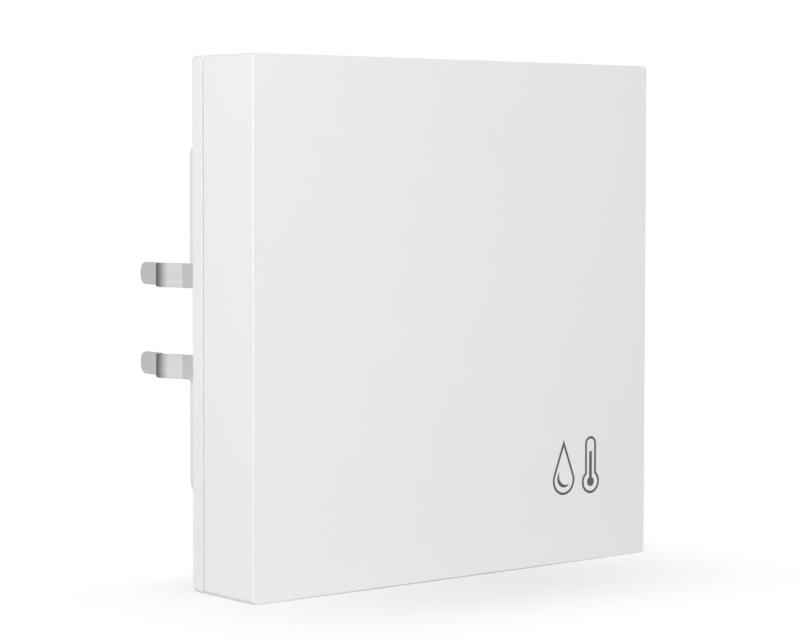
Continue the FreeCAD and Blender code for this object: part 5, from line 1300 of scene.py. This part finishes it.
pin_rods = [slab(place, PIN_HALF, PIN_HALF, 0.05, pin_rows, steps=2) for place in LINK_PLACES]
dress("link_header", "blocks", "black_moulding", *map(link_block, LINK_PLACES))
dress("link_socket", "body", "black_moulding", slab((0.0, LINK_UP), 5.08, 1.25, 0.12, socket_rows))
make_piece("link_pin_rods", pin_rods, "gold_flash", "link_pins")
smooth_copy("bus_header", "black_moulding", edge=0.1)
make_piece("bus_pin_rods", [spun(place, -0.1, bus_rows, way=1) for place in BUS_PLACES], "tinned", "bus_pins")

# %% [markdown]
# A screw's head is a low dome with a cross driven into it. In polar form its height is
# one formula: the dome, less the cross where the place lies within an arm's width of
# either axis. The thread is the shank's radius, raised where the turn and the place
# along it meet on a helix.

# %% Screws
SCREW_COLUMNS = 72
HOUSING_PLACES = [(33.2 * side, 0.4 + 24.0 * level) for side in (LEFT, RIGHT) for level in (DOWN, UP)]


def screw_surface(middle, seat, head_radius, head_tall, shank_radius, shank_long, arm_long, pitch):
    """A cross-head screw that points back: shank with thread, then the head's domed face with its recess."""
    turn = full_turn(SCREW_COLUMNS)
    along = np.linspace(0, shank_long, int(shank_long / pitch * 8))[:, None]
    ridge = np.clip(1 - np.abs(np.mod(along / pitch + turn / (2 * np.pi), 1.0) - 0.5) * 4, 0, 1)
    point = np.clip(along / (shank_radius * 0.9), 0.25, 1)
    shank = shank_radius * (0.78 + 0.22 * ridge) * point
    radius = np.concatenate([np.full(3, head_radius), head_radius * np.linspace(0.985, 0, 30)])[:, None]
    share = radius / head_radius
    rise = head_tall * (1 - 0.5 * share ** 4)
    rise[:3, 0] = (0.0, head_tall * 0.3, head_tall * 0.47)
    first, second = np.abs(radius * np.cos(turn)), np.abs(radius * np.sin(turn))
    outside = np.maximum(np.minimum(first, second) - 0.35, np.maximum(first, second) - arm_long)
    recess = np.clip(0.5 - outside / 0.14, 0, 1) * 0.8 * (1 - 0.35 * share)
    columns = np.concatenate([shank, radius + 0 * turn])
    depths = np.concatenate([seat + shank_long - along + 0 * turn, seat - rise + recess])
    return polar_loft(middle, columns, depths, turn)


HOUSING_SCREW = (-2.9, 2.2, 1.5, 1.1, 7.4, 1.45, 0.9)
SENSOR_SCREW = (SENSOR_FRONT, 1.8, 1.1, 0.9, 5.0, 1.15, 0.75)
make_piece("housing_screw_set", [screw_surface(place, *HOUSING_SCREW) for place in HOUSING_PLACES],
           "screw_steel", "housing_screws")
make_piece("sensor_screw_set", [screw_surface(place, *SENSOR_SCREW) for place in SCREW_PLACES],
           "screw_steel", "sensor_board_screws")

# %% [markdown]
# The foam wall is a strip of soft foam, cut from sheet and bent round the element. Its
# section is carried along the same U as the solid, with edges that a knife has left
# soft, and the whole surface swells and sinks by a few hundredths of a millimetre.

# %% Foam wall
FOAM_HALF_THICK, FOAM_HALF_DEEP, FOAM_MIDDLE, FOAM_EDGE = 1.0, 1.95, -11.85, 0.3


def foam_surface():
    """A rounded section with points all round, swept along the U and dented by crossed waves."""
    runs = [(0.0, 6.3), (14.6, 0.0), (0.0, -6.3)]
    points, headings = bent_path((-8.6, -40.2), runs, [1.3, 1.3], arc_steps=10, run_steps=36)
    section = full_outline(FOAM_HALF_THICK, FOAM_HALF_DEEP, FOAM_EDGE, 4, 6)
    along = np.arange(len(points))[:, None]
    swell = 0.03 * np.sin(along * 0.9) * np.sin(section[:, 1] * 5.1) - 0.055
    swell += 0.025 * np.sin(along * 0.37 + section[:, 0] * 4.0)
    grown = section * (1 + swell[..., None] / np.array([FOAM_HALF_THICK, FOAM_HALF_DEEP]))
    plan = points[:, None] + grown[..., :1] * sideways(headings)[:, None]
    return loft(np.stack([plan[..., 0], FOAM_MIDDLE + grown[..., 1], plan[..., 1]], axis=-1))


dress("foam_wall", "strip", "soft_foam", foam_surface())

# %% [markdown]
# Beside the inlet the housing carries a plus and a minus, raised in the mould, so that
# the bus is fitted the right way round.

# %% Polarity marks on the back
MARK_BASE, MARK_WIDTH, RAISED = 7.68, 0.55, 0.3
marks = [ribbon([(x - 1.1, -15.2), (x + 1.1, -15.2)], MARK_WIDTH, MARK_BASE, -RAISED) for x in (-10.5, 10.5)]
marks += [ribbon([(10.5, -16.3), (10.5, -14.1)], MARK_WIDTH, MARK_BASE, -RAISED - 0.003)]
make_piece("polarity_marks", marks, "housing_plastic")

# %% Check that nothing shown is left without a finish
unfinished = [name for name, part in frame["nodes"].items()
              if not part.hide_render and part.data.materials[0] != FINISHES["symbol_ink"]]
print("nodes still plain:", unfinished)
